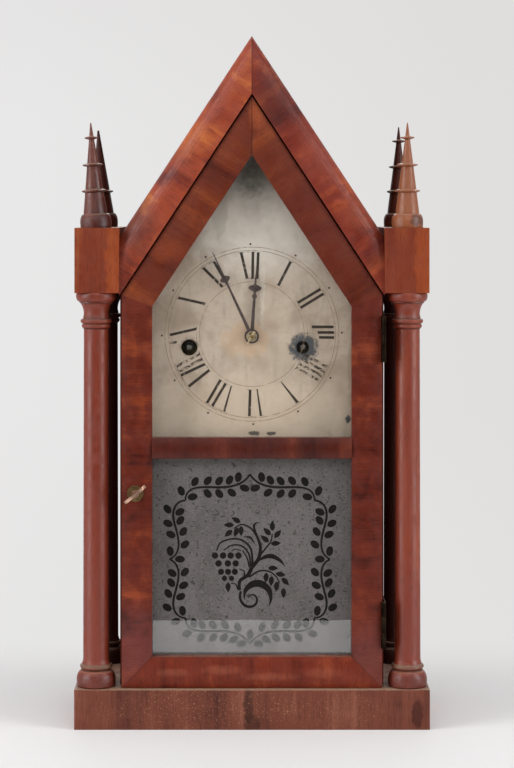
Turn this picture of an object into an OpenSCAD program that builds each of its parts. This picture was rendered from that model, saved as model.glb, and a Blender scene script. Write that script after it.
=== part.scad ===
// Double steeple shelf clock, millimetres. X runs to the right, Y to the back, Z up.
// The origin is the middle of the base's underside.

/* [Case] */
// Outside width of the box that the door closes
case_w = 194.8; // [192.8:0.2:198.8]
// Depth of the box from its front edge to the back board
case_d = 96; // [94:0.5:98]
// Thickness of the side boards and roof boards
board_t = 9; // [8:0.5:10]
// Thickness of the back board
back_t = 8; // [6:0.5:9]
// Height of the gable's point above the table
gable_top = 509.4; // [500:0.1:516]
// Angle between each roof slope and the upright
slope = 33.3; // [33:0.1:34]
// Width of the gable moulding, square to the slope
moulding_w = 23.7; // [20:0.1:24]
// How far the moulding stands out at its inner edge
moulding_t = 15; // [13:0.5:16]
// How far the moulding stands out at its outer edge
moulding_edge = 3; // [2:0.5:5]

/* [Base] */
// Width of the base
base_w = 260.5; // [258:0.5:263]
// Depth of the base
base_d = 128; // [127:0.5:131]
// Height of the base
base_h = 29.3; // [27:0.1:32]
// Thickness of the base's front, back and end boards
base_board = 18; // [14:1:20]
// Thickness of the base's top and bottom boards
base_panel = 7; // [5:0.5:9]

/* [Columns and blocks] */
// Height of a column between the base and its block
column_h = 290.4; // [284:0.2:296]
// Gap between the widest turning of a column and the box's side
column_gap = 2.7; // [2.5:0.05:3]
// Distance from a front column's centre to the front of the base
column_inset = 15; // [15:0.1:18]
// Distance from a rear column's centre to the back of the base
rear_inset = 24; // [17:0.1:28]
// How far the blocks reach past the middle of the front columns
block_reach = 15.1; // [14.5:0.1:15.2]
// How much nearer the clock's middle the rear columns stand
rear_column_in = 2.2; // [1:0.1:2.4]
// Radius of the shaft at its foot
shaft_foot_r = 9.6; // [8.5:0.1:10]
// Radius of the shaft at its top
shaft_top_r = 9.1; // [8:0.1:9.3]
// Radius of the large round moulding at the foot
foot_r = 14.5; // [14:0.1:15]
// Height of the large round moulding at the foot
foot_h = 12.4; // [11:0.1:13]
// Radius of the cap under the block
cap_r = 14.9; // [14:0.1:15.1]
// Height of the part above the shaft
capital_h = 26.4; // [24:0.1:28]
// Height of a cornice block
block_h = 47.8; // [44:0.2:50]
// How far the blocks stand behind the base's edges
block_setback = 1; // [0.5:0.1:2]
// Radius of the turned tenons on columns and spires
tenon_r = 4; // [3:0.5:5]
// Length of the turned tenons
tenon_h = 9; // [6:1:12]
// Height of a spire above its block
spire_h = 77.6; // [70:0.1:80]
// Radius of the round foot of a spire
spire_foot_r = 11.6; // [10:0.1:13]
// Lean of the two left spires, in degrees
spire_lean = 3; // [0:0.5:4]
// Height of the rear left spire, which has lost its point and its two upper rings
broken_h = 75; // [70:0.5:76]

/* [Door] */
// Gap between the door and the box's outer faces on each side
door_side_gap = 1.7; // [1.5:0.1:2]
// Gap between the door and the gable moulding
door_gap = 1.2; // [1:0.1:1.5]
// Gap under the door
door_low_gap = 0.5; // [0.5:0.1:1.5]
// Thickness of the door
door_t = 14; // [12:0.5:15]
// How far the door's front stands behind the base's front
door_setback = 3.5; // [3:0.1:4]
// Gap between the door's back and the box's front edge
door_back_gap = 0.5; // [0.4:0.1:1]
// Width of the stiles
stile_w = 22.3; // [20:0.1:24]
// Width of the sloping rafters
rafter_w = 23.4; // [21:0.1:25]
// Height of the bottom rail
bottom_rail_h = 22.6; // [18:0.1:24]
// Height of the middle rail's lower edge above the table
mid_rail_z = 198; // [190:0.5:205]
// Height of the middle rail
mid_rail_h = 15.4; // [13:0.1:18]
// How much the middle of each member stands out
crown = 1.5; // [0.5:0.1:2.5]
// Thickness of the glass
glass_t = 2; // [1.5:0.1:2.5]
// How far the glass lies behind the wood
glass_lap = 4; // [3:0.5:5]
// Depth of the rebate that the glass lies in
rebate_d = 4.5; // [4:0.1:5]

/* [Hinges and latch] */
// Height of each hinge
hinge_h = 34; // [28:1:40]
// Thickness of the hinge leaves
leaf_t = 0.8; // [0.6:0.1:1]
// Radius of the hinge barrels
barrel_r = 1.5; // [1.4:0.05:1.6]
// Radius of the hinge pins
hinge_pin_r = 0.7; // [0.6:0.05:0.8]
// Height of the lower hinge's middle
low_hinge_z = 76; // [70:1:90]
// Height of the upper hinge's middle
high_hinge_z = 286; // [275:1:295]
// Height of the knob's centre
knob_z = 172.6; // [165:0.2:180]
// Length of the knob's blade
knob_l = 20; // [16:0.5:22]
// Angle of the knob's blade from level
knob_angle = 40; // [30:1:50]
// Radius of the knob's shaft
knob_shaft_r = 1.5; // [1.2:0.1:1.8]
// Length of the latch bar from the shaft's middle
latch_l = 7.4; // [7:0.1:7.6]

/* [Dial and hands] */
// Height of the hand arbor
arbor_z = 286.8; // [285:0.1:289]
// Distance from the box's front edge to the dial
dial_setback = 10; // [9:0.5:11]
// Half width of the dial plate
dial_half_w = 80; // [78:0.5:82]
// Height of the dial plate's lower edge
dial_low_z = 203; // [201:0.5:205]
// Thickness of the dial plate
dial_t = 0.8; // [0.6:0.1:1]
// Radius of the hole in the dial for the strike winding square
strike_hole_r = 6; // [5.5:0.1:6.5]
// Radius of the hole in the dial for the time winding square
time_hole_r = 4.9; // [4.5:0.1:5.5]
// Length of the minute hand from its centre
minute_hand_l = 69; // [64:0.5:71]
// Length of the hour hand from its centre
hour_hand_l = 48; // [44:0.5:51]
// Turn of the minute hand from upright, to the left
minute_turn = 25; // [0:1:360]
// Turn of the hour hand from upright, to the left
hour_turn = -4; // [-180:1:180]
// Thickness of the hands
hand_t = 0.6; // [0.5:0.1:0.8]

/* [Movement] */
// Distance from the dial's front to the front plate
dial_to_plate = 18; // [17.5:0.1:18.5]
// Thickness of the movement plates
plate_t = 1.6; // [1.4:0.1:1.8]
// Distance between the plates
plate_gap = 34.4; // [34:0.1:35]
// Radius of the plate pillars
pillar_r = 3.2; // [2.8:0.1:3.4]
// Radius of the pivots in the plates
pivot_r = 0.8; // [0.7:0.05:0.9]
// Radius of the arbors between the plates
arbor_r = 1.5; // [1.3:0.1:1.6]
// Radius of the slender arbors that carry small pinions
slender_r = 1; // [0.9:0.02:1.04]
// Radius of the winding arbors
winding_r = 3; // [2.8:0.1:3.2]
// Width across the winding squares
winding_square = 3.4; // [3:0.1:3.8]
// Teeth on each great wheel
great_teeth = 72; // [72:4:76]
// Teeth on the centre wheel
center_teeth = 64; // [60:2:64]
// Teeth on the third wheel and strike third wheel
third_teeth = 54; // [50:2:54]
// Teeth on the strike second wheel
second_teeth = 60; // [56:2:60]
// Teeth on the escape wheel
escape_teeth = 42; // [36:2:44]
// Tooth size of the great wheels, pitch diameter over teeth
great_module = 0.97; // [0.96:0.005:0.98]
// Tooth size of the centre wheel
center_module = 0.75; // [0.74:0.005:0.76]
// Tooth size of the third wheel and strike second wheel
third_module = 0.7; // [0.69:0.005:0.71]
// Tooth size of the strike third wheel
fly_module = 0.6; // [0.59:0.005:0.61]
// Tooth size of the wheels behind the hands
motion_module = 0.8; // [0.79:0.005:0.81]
// Radius of the escape wheel
escape_r = 14; // [13.5:0.1:14.2]
// Thickness of the wheels
wheel_t = 1.4; // [1.2:0.1:1.6]
// Teeth on the ratchets
ratchet_teeth = 24; // [24:12:36]
// Radius of the ratchets
ratchet_r = 12.5; // [12:0.1:13]

/* [Springs, pendulum and gong] */
// Thickness of the mainsprings
spring_t = 0.5; // [0.4:0.05:0.6]
// Width of the mainsprings
spring_w = 18.5; // [16:0.5:18.5]
// Turns of each mainspring
spring_turns = 8; // [6:1:9]
// Outer radius of a mainspring
spring_r = 24; // [22:0.5:24.5]
// Length of the pendulum from its hinge to the bob's middle
pendulum_l = 197; // [190:1:200]
// Radius of the pendulum rod
rod_r = 0.8; // [0.7:0.05:0.9]
// Radius of the bob
bob_r = 17; // [15:0.5:18]
// Thickness of the bob
bob_t = 9; // [7:0.5:10]
// Height of the gong's middle
gong_z = 105; // [100:1:110]
// Outer radius of the gong coil
gong_r = 38; // [36:0.5:38]
// Radius of the gong wire
gong_wire_r = 1.1; // [1:0.05:1.2]
// Turns of the gong coil
gong_turns = 4; // [3:1:4]
// Length of the hammer's arm
hammer_l = 121; // [118:0.5:122]

/* [Fits] */
// Radial play of a pivot or pin in its hole
running_play = 0.05; // [0.03:0.01:0.08]
// Radial gap round a piece that is fastened in its hole
seat_play = 0.02; // [0.01:0.01:0.04]

/* [Hidden] */
$fn = 48;
mahogany = "#6b3324";
veneer = "#7d4433";
pine = "#c9a878";
brass = "#b08d4a";
steel = "#5b6068";
black_iron = "#2c2c2f";
cream = "#b8a08a";
pane = "#8d8f93";

// Places along Y, from the front to the back
base_front = -base_d / 2;
door_front = base_front + door_setback;
door_back = door_front + door_t;
case_front = door_back + door_back_gap;
case_back = case_front + case_d;
dial_y = case_front + dial_setback;
plate_y = dial_y + dial_to_plate;
inner_y = plate_y + plate_t;
rear_y = inner_y + plate_gap;
plate_back = rear_y + plate_t;
block_front = base_front + block_setback;
// Across the case
case_half = case_w / 2;
inner_half = case_half - board_t;
door_half = case_half - door_side_gap;
open_half = door_half - stile_w;
// Heights
block_z = base_h + column_h;
block_top = block_z + block_h;
function roof_z(x, inward) = gable_top - inward / sin(slope) - x / tan(slope);
door_inward = moulding_w + door_gap;
open_inward = door_inward + rafter_w;
door_low = base_h + door_low_gap;
door_eave = roof_z(door_half, door_inward);
open_eave = roof_z(open_half, open_inward);
low_glass_z = door_low + bottom_rail_h;
mid_rail_top = mid_rail_z + mid_rail_h;
board_over = 1;

// An arc of points round c from angle a0 to a1
function arc(c, r, a0, a1, n) =
    [for (i = [0:n]) c + r * [cos(a0 + (a1 - a0) * i / n), sin(a0 + (a1 - a0) * i / n)]];
function along(at, distance, angle) = at + distance * [cos(angle), sin(angle)];
function turned(p, a) = [p[0] * cos(a) - p[1] * sin(a), p[0] * sin(a) + p[1] * cos(a)];
function heading(p, q) = atan2(q[1] - p[1], q[0] - p[0]);

// Drawings in x and z are raised upright, and a slab of one lies between two places along Y
module upright(at = [0, 0]) {
    translate([at[0], 0, at[1]]) rotate([90, 0, 0]) children();
}
module slab(y0, y1) {
    translate([0, 0, -y1]) linear_extrude(y1 - y0) children();
}
module disc(y0, y1, r) {
    translate([0, 0, -y1]) cylinder(h = y1 - y0, r = r);
}
module box(x0, x1, y0, y1, z0, z1) {
    translate([x0, y0, z0]) cube([x1 - x0, y1 - y0, z1 - z0]);
}
module both_sides() {
    children();
    mirror([1, 0, 0]) children();
}

// Base
base_half = base_w / 2;
module base_front_board() {
    color(veneer) box(-base_half, base_half, base_front, base_front + base_board, 0, base_h);
}
module base_back_board() {
    color(mahogany) box(-base_half, base_half, -base_front - base_board, -base_front, 0, base_h);
}
module base_end_boards() {
    color(veneer) both_sides()
        box(base_half - base_board, base_half, base_front + base_board,
            -base_front - base_board, 0, base_h);
}
module base_panel_board(z) {
    box(-base_half + base_board, base_half - base_board, base_front + base_board,
        -base_front - base_board, z, z + base_panel);
}
module base_top_board() {
    color(mahogany) base_panel_board(base_h - base_panel);
}
module base_bottom_board() {
    color(pine) base_panel_board(0);
}

// Box
module side_board() {
    upright() slab(case_front, case_back) polygon([
        [inner_half, base_h], [case_half, base_h],
        [case_half, roof_z(case_half, board_t)], [inner_half, roof_z(inner_half, board_t)]]);
}
module case_sides() {
    color(mahogany) both_sides() side_board();
}
module roof_boards() {
    color(mahogany) both_sides()
        upright() slab(case_front, case_back) polygon([
            [0, roof_z(0, 0)], [case_half, roof_z(case_half, 0)],
            [case_half, roof_z(case_half, board_t)], [0, roof_z(0, board_t)]]);
}
module back_board() {
    color(pine) difference() {
        upright() slab(case_back, case_back + back_t) polygon([
            [-case_half, base_h], [case_half, base_h], [case_half, roof_z(case_half, 0)],
            [0, roof_z(0, 0)], [-case_half, roof_z(case_half, 0)]]);
        for (z = [-gong_screw_reach, gong_screw_reach])
            upright([gong_x + gong_foot_x, gong_z + z])
                disc(case_back - board_over, case_back + back_t / 2, screw_r + seat_play);
    }
}

// A length laid along the right roof slope, with its section drawn as [inward, forward]
module down_slope(section, back_y) {
    run = 1.5 * case_half / sin(slope);
    translate([0, back_y, gable_top]) rotate([0, -slope, 0]) translate([0, 0, -run])
        linear_extrude(2 * run) polygon([for (p = section) [-p[0], -p[1]]]);
}
moulding_round = 0.6 * moulding_w;
moulding_steps = 8;
moulding_section = concat(
    [[moulding_w, 0], [0, 0]],
    [for (i = [0:moulding_steps]) let (a = 90 * i / moulding_steps)
        [moulding_round * (1 - cos(a)), moulding_edge + (moulding_t - moulding_edge) * sin(a)]],
    [[moulding_w, moulding_t]]);
module gable_moulding() {
    intersection() {
        down_slope(moulding_section, case_front);
        box(0, case_half, base_front, case_front, base_h, gable_top + board_over);
    }
}
module gable_moulding_right() {
    color(veneer) gable_moulding();
}
module gable_moulding_left() {
    color(veneer) mirror([1, 0, 0]) gable_moulding();
}

// Columns: each half round of the outline is a bead between two heights
column_x = case_half + column_gap + cap_r;
column_y = base_d / 2 - column_inset;
rear_column_y = base_d / 2 - rear_inset;
function bead(r, z0, z1, n = 8) = arc([r - (z1 - z0) / 2, (z0 + z1) / 2], (z1 - z0) / 2, -90, 90, n);
// A swelling that is widest at zm and draws in by low and high at its ends
function swelling(r, z0, zm, z1, low, high, n = 5) = concat(
    [for (i = [0:n]) let (a = 90 * i / n - 90) [r - low * (1 - cos(a)), zm + (zm - z0) * sin(a)]],
    [for (i = [1:n]) let (a = 90 * i / n) [r - high * (1 - cos(a)), zm + (z1 - zm) * sin(a)]]);
fillet_h = 0.6;
second_bead_h = 3.8;
second_bead_r = foot_r - 2.5;
foot_swell = [4.6, 0.8, 4.6];
cap_swell = [4.2, 2.4, 0.8];
shaft_low = foot_h + fillet_h + second_bead_h;
shaft_flare = 4;
shaft_high = column_h - capital_h;
ring_h = 7.2;
ring_r = 11.6;
neck_h = 3.2;
cap_h = 6.6;
flare_low = shaft_high + ring_h + neck_h;
flare_high = column_h - cap_h - fillet_h;
flare_r = cap_r - cap_swell[1];
module column() {
    outline = concat(
        [[0, 0]],
        swelling(foot_r, 0, foot_swell[0], foot_h, foot_swell[1], foot_swell[2]),
        [[second_bead_r - 1, foot_h + fillet_h / 2]],
        bead(second_bead_r, foot_h + fillet_h, shaft_low),
        [for (i = [0:4]) [shaft_foot_r + pow(1 - i / 4, 2), shaft_low + shaft_flare * i / 4]],
        [[shaft_top_r, shaft_high - fillet_h], [shaft_top_r + fillet_h, shaft_high]],
        bead(ring_r - 0.9, shaft_high, shaft_high + ring_h / 2, 6),
        bead(ring_r, shaft_high + ring_h / 2, shaft_high + ring_h, 6),
        [for (i = [0:6]) let (a = 90 * i / 6)
            [flare_r - (flare_r - shaft_top_r) * cos(a),
             flare_low + (flare_high - flare_low) * (1 - cos(a) * 0.2 - 0.8 * (1 - sin(a)))]],
        swelling(cap_r, column_h - cap_h, column_h - cap_h + cap_swell[0], column_h,
            cap_swell[1], cap_swell[2]),
        [[tenon_r, column_h], [tenon_r, column_h + tenon_h], [0, column_h + tenon_h]]);
    rotate_extrude() polygon(outline);
}
rear_column_x = column_x - rear_column_in;
module front_columns() {
    color(veneer) both_sides() translate([column_x, -column_y, base_h]) column();
}
module rear_columns() {
    color(mahogany) both_sides() translate([rear_column_x, rear_column_y, base_h]) column();
}

// Blocks with holes for the tenons below and above
module cornice_blocks() {
    color(veneer) both_sides() difference() {
        box(case_half, column_x + block_reach, block_front, -block_front, block_z, block_top);
        for (place = [[column_x, -column_y], [rear_column_x, rear_column_y]])
            translate([place[0], place[1], block_z - board_over]) tenon_hole();
        for (y = [-column_y, rear_column_y])
            translate([column_x, y, block_top - tenon_h - board_over]) tenon_hole();
    }
}
module tenon_hole() {
    cylinder(h = tenon_h + 2 * board_over, r = tenon_r + seat_play);
}

// Spires: a round foot, a slim cone and thin rings. The body starts below the block's top and
// is cut level there, so that a leaning one also stands flat.
spire_bulb_h = 10.5;
cone_foot_r = 8.7;
cone_tip_r = 0.4;
cone_low = spire_bulb_h + 1;
ring_heights = [27.3, 46.5, 66.6];
ring_radii = [9.2, 7.6, 5.1];
ring_half_h = 1.4;
ring_lip = 0.4;
spire_swell = [4.4, 0.4, 2.9];
spire_below = 1.5;
function cone_r(z) = cone_foot_r + (cone_tip_r - cone_foot_r) * (z - cone_low) / (spire_h - cone_low);
module spire(lean, rings, top) {
    outline = concat(
        [[0, -spire_below], [spire_foot_r - spire_swell[1], -spire_below]],
        swelling(spire_foot_r, 0, spire_swell[0], spire_bulb_h, spire_swell[1], spire_swell[2]),
        [[cone_foot_r, cone_low]],
        [for (i = [0:rings - 1], p = [
            [cone_r(ring_heights[i] - ring_half_h), ring_heights[i] - ring_half_h],
            [ring_radii[i], ring_heights[i] - ring_lip],
            [ring_radii[i], ring_heights[i] + ring_lip],
            [cone_r(ring_heights[i] + ring_half_h), ring_heights[i] + ring_half_h]]) p],
        [[cone_r(top), top], [0, top]]);
    translate([column_x, 0, block_top]) {
        difference() {
            rotate([0, lean, 0]) rotate_extrude() polygon(outline);
            translate([0, 0, -2 * spire_below]) cylinder(h = 2 * spire_below, r = 2 * spire_foot_r);
        }
        translate([0, 0, -tenon_h]) cylinder(h = tenon_h + spire_below, r = tenon_r);
    }
}
module front_spires() {
    color(veneer) translate([0, -column_y, 0]) {
        spire(0, len(ring_heights), spire_h);
        mirror([1, 0, 0]) spire(spire_lean, len(ring_heights), spire_h);
    }
}
module rear_spires() {
    color(mahogany) translate([0, rear_column_y, 0]) {
        spire(0, len(ring_heights), spire_h);
        mirror([1, 0, 0]) spire(spire_lean, 1, broken_h);
    }
}

// Door: every member has a gently crowned front, and they meet in mitres
function crowned(w, t, n = 8) = concat([[w, 0], [0, 0]],
    [for (i = [0:n]) [w * i / n, t - crown * pow(2 * i / n - 1, 2)]]);
module standing(section, x, z0, z1) {
    translate([x, door_back, z0]) linear_extrude(z1 - z0)
        polygon([for (p = section) [p[0], -p[1]]]);
}
module lying(section, z) {
    translate([-door_half, door_back, z]) rotate([90, 0, 90])
        linear_extrude(2 * door_half) polygon([for (p = section) [-p[1], p[0]]]);
}
low_open = [[-open_half, low_glass_z], [open_half, low_glass_z],
    [open_half, mid_rail_z], [-open_half, mid_rail_z]];
function gable_shape(half, low, inward) = [[-half, low], [half, low],
    [half, roof_z(half, inward)], [0, roof_z(0, inward)], [-half, roof_z(half, inward)]];
low_lap = [[-open_half - glass_lap, low_glass_z - glass_lap],
    [open_half + glass_lap, low_glass_z - glass_lap],
    [open_half + glass_lap, mid_rail_z + glass_lap],
    [-open_half - glass_lap, mid_rail_z + glass_lap]];
glass_lap_inward = open_inward - glass_lap;
module rebates() {
    upright() slab(door_back - rebate_d, door_back + board_over) {
        polygon(low_lap);
        polygon(gable_shape(open_half + glass_lap, mid_rail_top - glass_lap, glass_lap_inward));
    }
}
hinge_x = case_half - 0.5;
hinge_y = door_front - barrel_r;
leaf_low_y = hinge_y + 1.8;
leaf_depth = 11;
module stile() {
    difference() {
        intersection() {
            standing(crowned(stile_w, door_t), open_half, door_low, door_eave + rafter_w);
            upright() slab(door_front - board_over, door_back + board_over) polygon([
                [open_half, low_glass_z], [door_half, door_low], [door_half, door_eave],
                [open_half, open_eave]]);
        }
        rebates();
    }
}
module door_stiles() {
    color(mahogany) {
        difference() {
            stile();
            for (z = [low_hinge_z, high_hinge_z])
                box(door_half - leaf_t, door_half + board_over, hinge_y,
                    leaf_low_y + leaf_depth, z - hinge_h / 2, z + hinge_h / 2);
        }
        difference() {
            mirror([1, 0, 0]) stile();
            upright([knob_x, knob_z])
                disc(door_front - board_over, door_back + board_over, knob_shaft_r + 4 * running_play);
        }
    }
}
rafter_section = [for (p = crowned(rafter_w, door_t)) [p[0] + door_inward, p[1]]];
module rafter() {
    difference() {
        intersection() {
            down_slope(rafter_section, door_back);
            upright() slab(door_front - board_over, door_back + board_over) polygon([
                [0, gable_top], [0, base_h], [open_half, open_eave],
                [door_half, door_eave], [door_half, gable_top]]);
        }
        rebates();
    }
}
module door_rafters() {
    color(mahogany) both_sides() rafter();
}
module door_mid_rail() {
    color(mahogany) difference() {
        intersection() {
            lying(crowned(mid_rail_h, door_t), mid_rail_z);
            box(-open_half, open_half, door_front, door_back, door_low, gable_top);
        }
        rebates();
    }
}
module door_bottom_rail() {
    color(mahogany) difference() {
        intersection() {
            lying(crowned(bottom_rail_h, door_t), door_low);
            upright() slab(door_front - board_over, door_back + board_over) polygon([
                [-door_half, door_low], [door_half, door_low], [open_half, low_glass_z],
                [-open_half, low_glass_z]]);
        }
        rebates();
    }
}

// Glass, lying against the front of its rebate
glass_play = 0.3;
glass_front = door_back - rebate_d;
lap_half = open_half + glass_lap - glass_play;
module upper_glass() {
    color(pane) upright() slab(glass_front, glass_front + glass_t)
        polygon(gable_shape(lap_half, mid_rail_top - glass_lap + glass_play,
            glass_lap_inward + glass_play));
}
module lower_glass() {
    color(pane) upright() slab(glass_front, glass_front + glass_t) polygon([
        [-lap_half, low_glass_z - glass_lap + glass_play],
        [lap_half, low_glass_z - glass_lap + glass_play],
        [lap_half, mid_rail_z + glass_lap - glass_play],
        [-lap_half, mid_rail_z + glass_lap - glass_play]]);
}

// Hinges: the case holds the outer knuckles and the pin, and the door the middle one
knuckle_gap = 0.3;
tab_reach = 0.8;
middle_h = hinge_h / 3;
strap_back = 12;
module barrel(z0, z1, bore) {
    translate([hinge_x, hinge_y, z0]) difference() {
        cylinder(h = z1 - z0, r = barrel_r);
        translate([0, 0, -board_over]) cylinder(h = z1 - z0 + 2 * board_over, r = bore);
    }
}
module case_hinge(z) {
    low = z - hinge_h / 2;
    high = z + hinge_h / 2;
    m0 = z - middle_h / 2 - knuckle_gap;
    m1 = z + middle_h / 2 + knuckle_gap;
    box(case_half, case_half + leaf_t, leaf_low_y, case_front + strap_back, low, high);
    for (part = [[low, m0], [m1, high]]) {
        translate([hinge_x, hinge_y, part[0]]) cylinder(h = part[1] - part[0], r = barrel_r);
        box(case_half, case_half + leaf_t, hinge_y - tab_reach / 2, leaf_low_y + 0.1,
            part[0], part[1]);
    }
    translate([hinge_x, hinge_y, low]) cylinder(h = hinge_h, r = hinge_pin_r);
}
module case_hinges() {
    color(brass) {
        case_hinge(low_hinge_z);
        case_hinge(high_hinge_z);
    }
}
module door_hinge(z) {
    m0 = z - middle_h / 2;
    m1 = z + middle_h / 2;
    box(door_half - leaf_t, door_half, leaf_low_y, leaf_low_y + leaf_depth - seat_play,
        z - hinge_h / 2 + seat_play, z + hinge_h / 2 - seat_play);
    barrel(m0, m1, hinge_pin_r + running_play);
    difference() {
        box(door_half - leaf_t, door_half + leaf_t / 2, hinge_y - tab_reach / 2,
            leaf_low_y + 0.1, m0, m1);
        translate([hinge_x, hinge_y, m0 - board_over])
            cylinder(h = m1 - m0 + 2 * board_over, r = hinge_pin_r + running_play);
    }
}
module door_hinges() {
    color(brass) {
        door_hinge(low_hinge_z);
        door_hinge(high_hinge_z);
    }
}

// Turn knob: a thin blade in front, a shaft through the stile, a latch bar behind
knob_plate_t = 0.8;
knob_plate_r = 6;
blade_t = 2.2;
blade_out = 9;
knob_collar_t = 1.6;
knob_inset = 10.1;
knob_x = -door_half + knob_inset;
latch_bar_w = 3;
latch_bar_t = 1.2;
latch_back = 3;
keeper_gap = 0.4;
keeper_drop = 3.2;
keeper_h = 7;
module knob_plate() {
    color(brass) upright([knob_x, knob_z]) difference() {
        disc(door_front - knob_plate_t, door_front, knob_plate_r);
        disc(door_front - 2 * knob_plate_t, door_front + board_over, knob_shaft_r + running_play);
    }
}
module door_knob() {
    blade_foot = door_front - knob_plate_t - 0.4;
    color(brass) upright([knob_x, knob_z]) {
        disc(blade_foot, case_front + latch_back + latch_bar_t, knob_shaft_r);
        disc(blade_foot - knob_collar_t, blade_foot, knob_shaft_r + 1.4);
        rotate([0, 0, knob_angle]) translate([0, blade_t / 2, -blade_foot])
            rotate([90, 0, 0]) linear_extrude(blade_t)
                polygon(concat([[-knob_shaft_r, knob_collar_t / 2]],
                    [for (i = [0:12]) let (a = 180 - 15 * i)
                        [knob_l / 2 * cos(a), blade_out * (0.45 + 0.55 * sin(a))]],
                    [[knob_shaft_r, knob_collar_t / 2]]));
        slab(case_front + latch_back, case_front + latch_back + latch_bar_t)
            polygon([[-knob_shaft_r, -latch_bar_w / 2], [latch_l, -latch_bar_w / 2],
                [latch_l, latch_bar_w / 2], [-knob_shaft_r, latch_bar_w / 2]]);
    }
}
// A block glued to the left side, which the latch bar swings behind
module latch_keeper() {
    color(mahogany) box(-inner_half, knob_x + latch_bar_w / 2, case_front,
        case_front + latch_back - keeper_gap, knob_z - keeper_drop - keeper_h, knob_z - keeper_drop);
}

// Places of the arbors, as [x, z] from the hand arbor
great_pinion = 8;
third_pinion = 6;
cannon_teeth = 10;
minute_teeth = 30;
minute_pinion = 8;
hour_teeth = 32;
function reach(wheel, pinion, size) = (wheel + pinion) * size / 2;
center_at = [0, 0];
great_reach = reach(great_teeth, great_pinion, great_module);
time_at = along(center_at, great_reach, -12.6);
third_at = along(center_at, reach(center_teeth, third_pinion, center_module), 100);
escape_at = along(third_at, reach(third_teeth, third_pinion, third_module), 110);
verge_at = escape_at + [0, escape_r + 2.5];
strike_at = [-46.5, time_at[1]];
second_at = along(strike_at, great_reach, -60);
strike_third_at = along(second_at, reach(second_teeth, third_pinion, third_module), -20);
fly_at = along(strike_third_at, reach(third_teeth, third_pinion, fly_module), 20);
minute_stud_at = along(center_at, reach(minute_teeth, cannon_teeth, motion_module), -20);
hammer_at = [-52.5, -54];
pendulum_at = [verge_at[0], verge_at[1] + 8];
function world(at) = [at[0], arbor_z + at[1]];

// Places of the wheels along Y
great_wheel_y = inner_y + 3.4;
center_wheel_y = rear_y - 3 - wheel_t;
third_wheel_y = center_wheel_y - 4.2 - wheel_t;
motion_wheel_y = plate_y - 2.2 - wheel_t;
hour_wheel_y = motion_wheel_y - wheel_t - wheel_t;
escape_wheel_y = plate_y - 3.9;
rod_y = plate_y - 11;

// Teeth with radial roots and tips that follow a circle rolled round the pitch circle
function rolled(r, g, t) = [(r + g) * cos(t) - g * cos((r + g) / g * t),
    (r + g) * sin(t) - g * sin((r + g) / g * t)];
function roll_to(r, g, tip) = g / r * acos((pow(r + g, 2) + g * g - tip * tip) / (2 * g * (r + g)));
function flank(r, g, tip, half, n) = [for (i = [0:n]) let (p = rolled(r, g, roll_to(r, g, tip) * i / n))
    [norm(p), atan2(p[1], p[0]) - half]];
function gear_points(teeth, size, mate_r, share, n = 1) = let (
        r = teeth * size / 2,
        half = 180 * share / teeth,
        root = r - 1.2 * size,
        side = flank(r, mate_r, r + size, half, n),
        tooth = concat([[root, -half]], side, [for (i = [n:-1:0]) [side[i][0], -side[i][1]]],
            [[root, half]]))
    [for (k = [0:teeth - 1], p = tooth)
        p[0] * [cos(p[1] + k * 360 / teeth), sin(p[1] + k * 360 / teeth)]];
thin_share = 0.36;
even_share = 0.44;
trundle_share = 0.55;
function window_points(r0, r1, arm, span, n = 5) = let (
        a0 = asin(arm / 2 / r0),
        a1 = asin(arm / 2 / r1))
    concat(arc([0, 0], r0, span - a0, a0, n), arc([0, 0], r1, a1, span - a1, n));

// A wheel with its rim, hub and arms, its first tooth pointing at aim
module toothed(teeth, size, mate_r, y, aim, hub, arms = 4, arm = 3, rim = 2.6, share = thin_share) {
    root = teeth * size / 2 - 1.2 * size;
    rotate([0, 0, aim]) difference() {
        slab(y, y + wheel_t) polygon(gear_points(teeth, size, mate_r, share));
        for (k = [0:arms - 1]) rotate([0, 0, k * 360 / arms])
            slab(y - board_over, y + wheel_t + board_over)
                polygon(window_points(hub, root - rim, arm, 360 / arms));
    }
}
// A pinion of round trundles between two end discs, with a gap pointing at aim
module lantern(count, size, y0, y1, aim) {
    pitch_r = count * size / 2;
    trundle_r = trundle_share * size;
    end_t = 0.8;
    for (y = [y0, y1 - end_t]) disc(y, y + end_t, pitch_r + trundle_r + 0.4);
    for (k = [0:count - 1]) rotate([0, 0, aim + (k + 0.5) * 360 / count])
        translate([pitch_r, 0, 0]) disc(y0, y1, trundle_r);
}
module arbor(body_r, front = plate_y, back = plate_back) {
    disc(front + running_play, back - running_play, pivot_r);
    disc(inner_y + 0.4, rear_y - 0.4, body_r);
}

// Going train
lantern_side = 1.6;
great_hub_r = 10;
boss_r = 6;
boss_h = 1.2;
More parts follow.
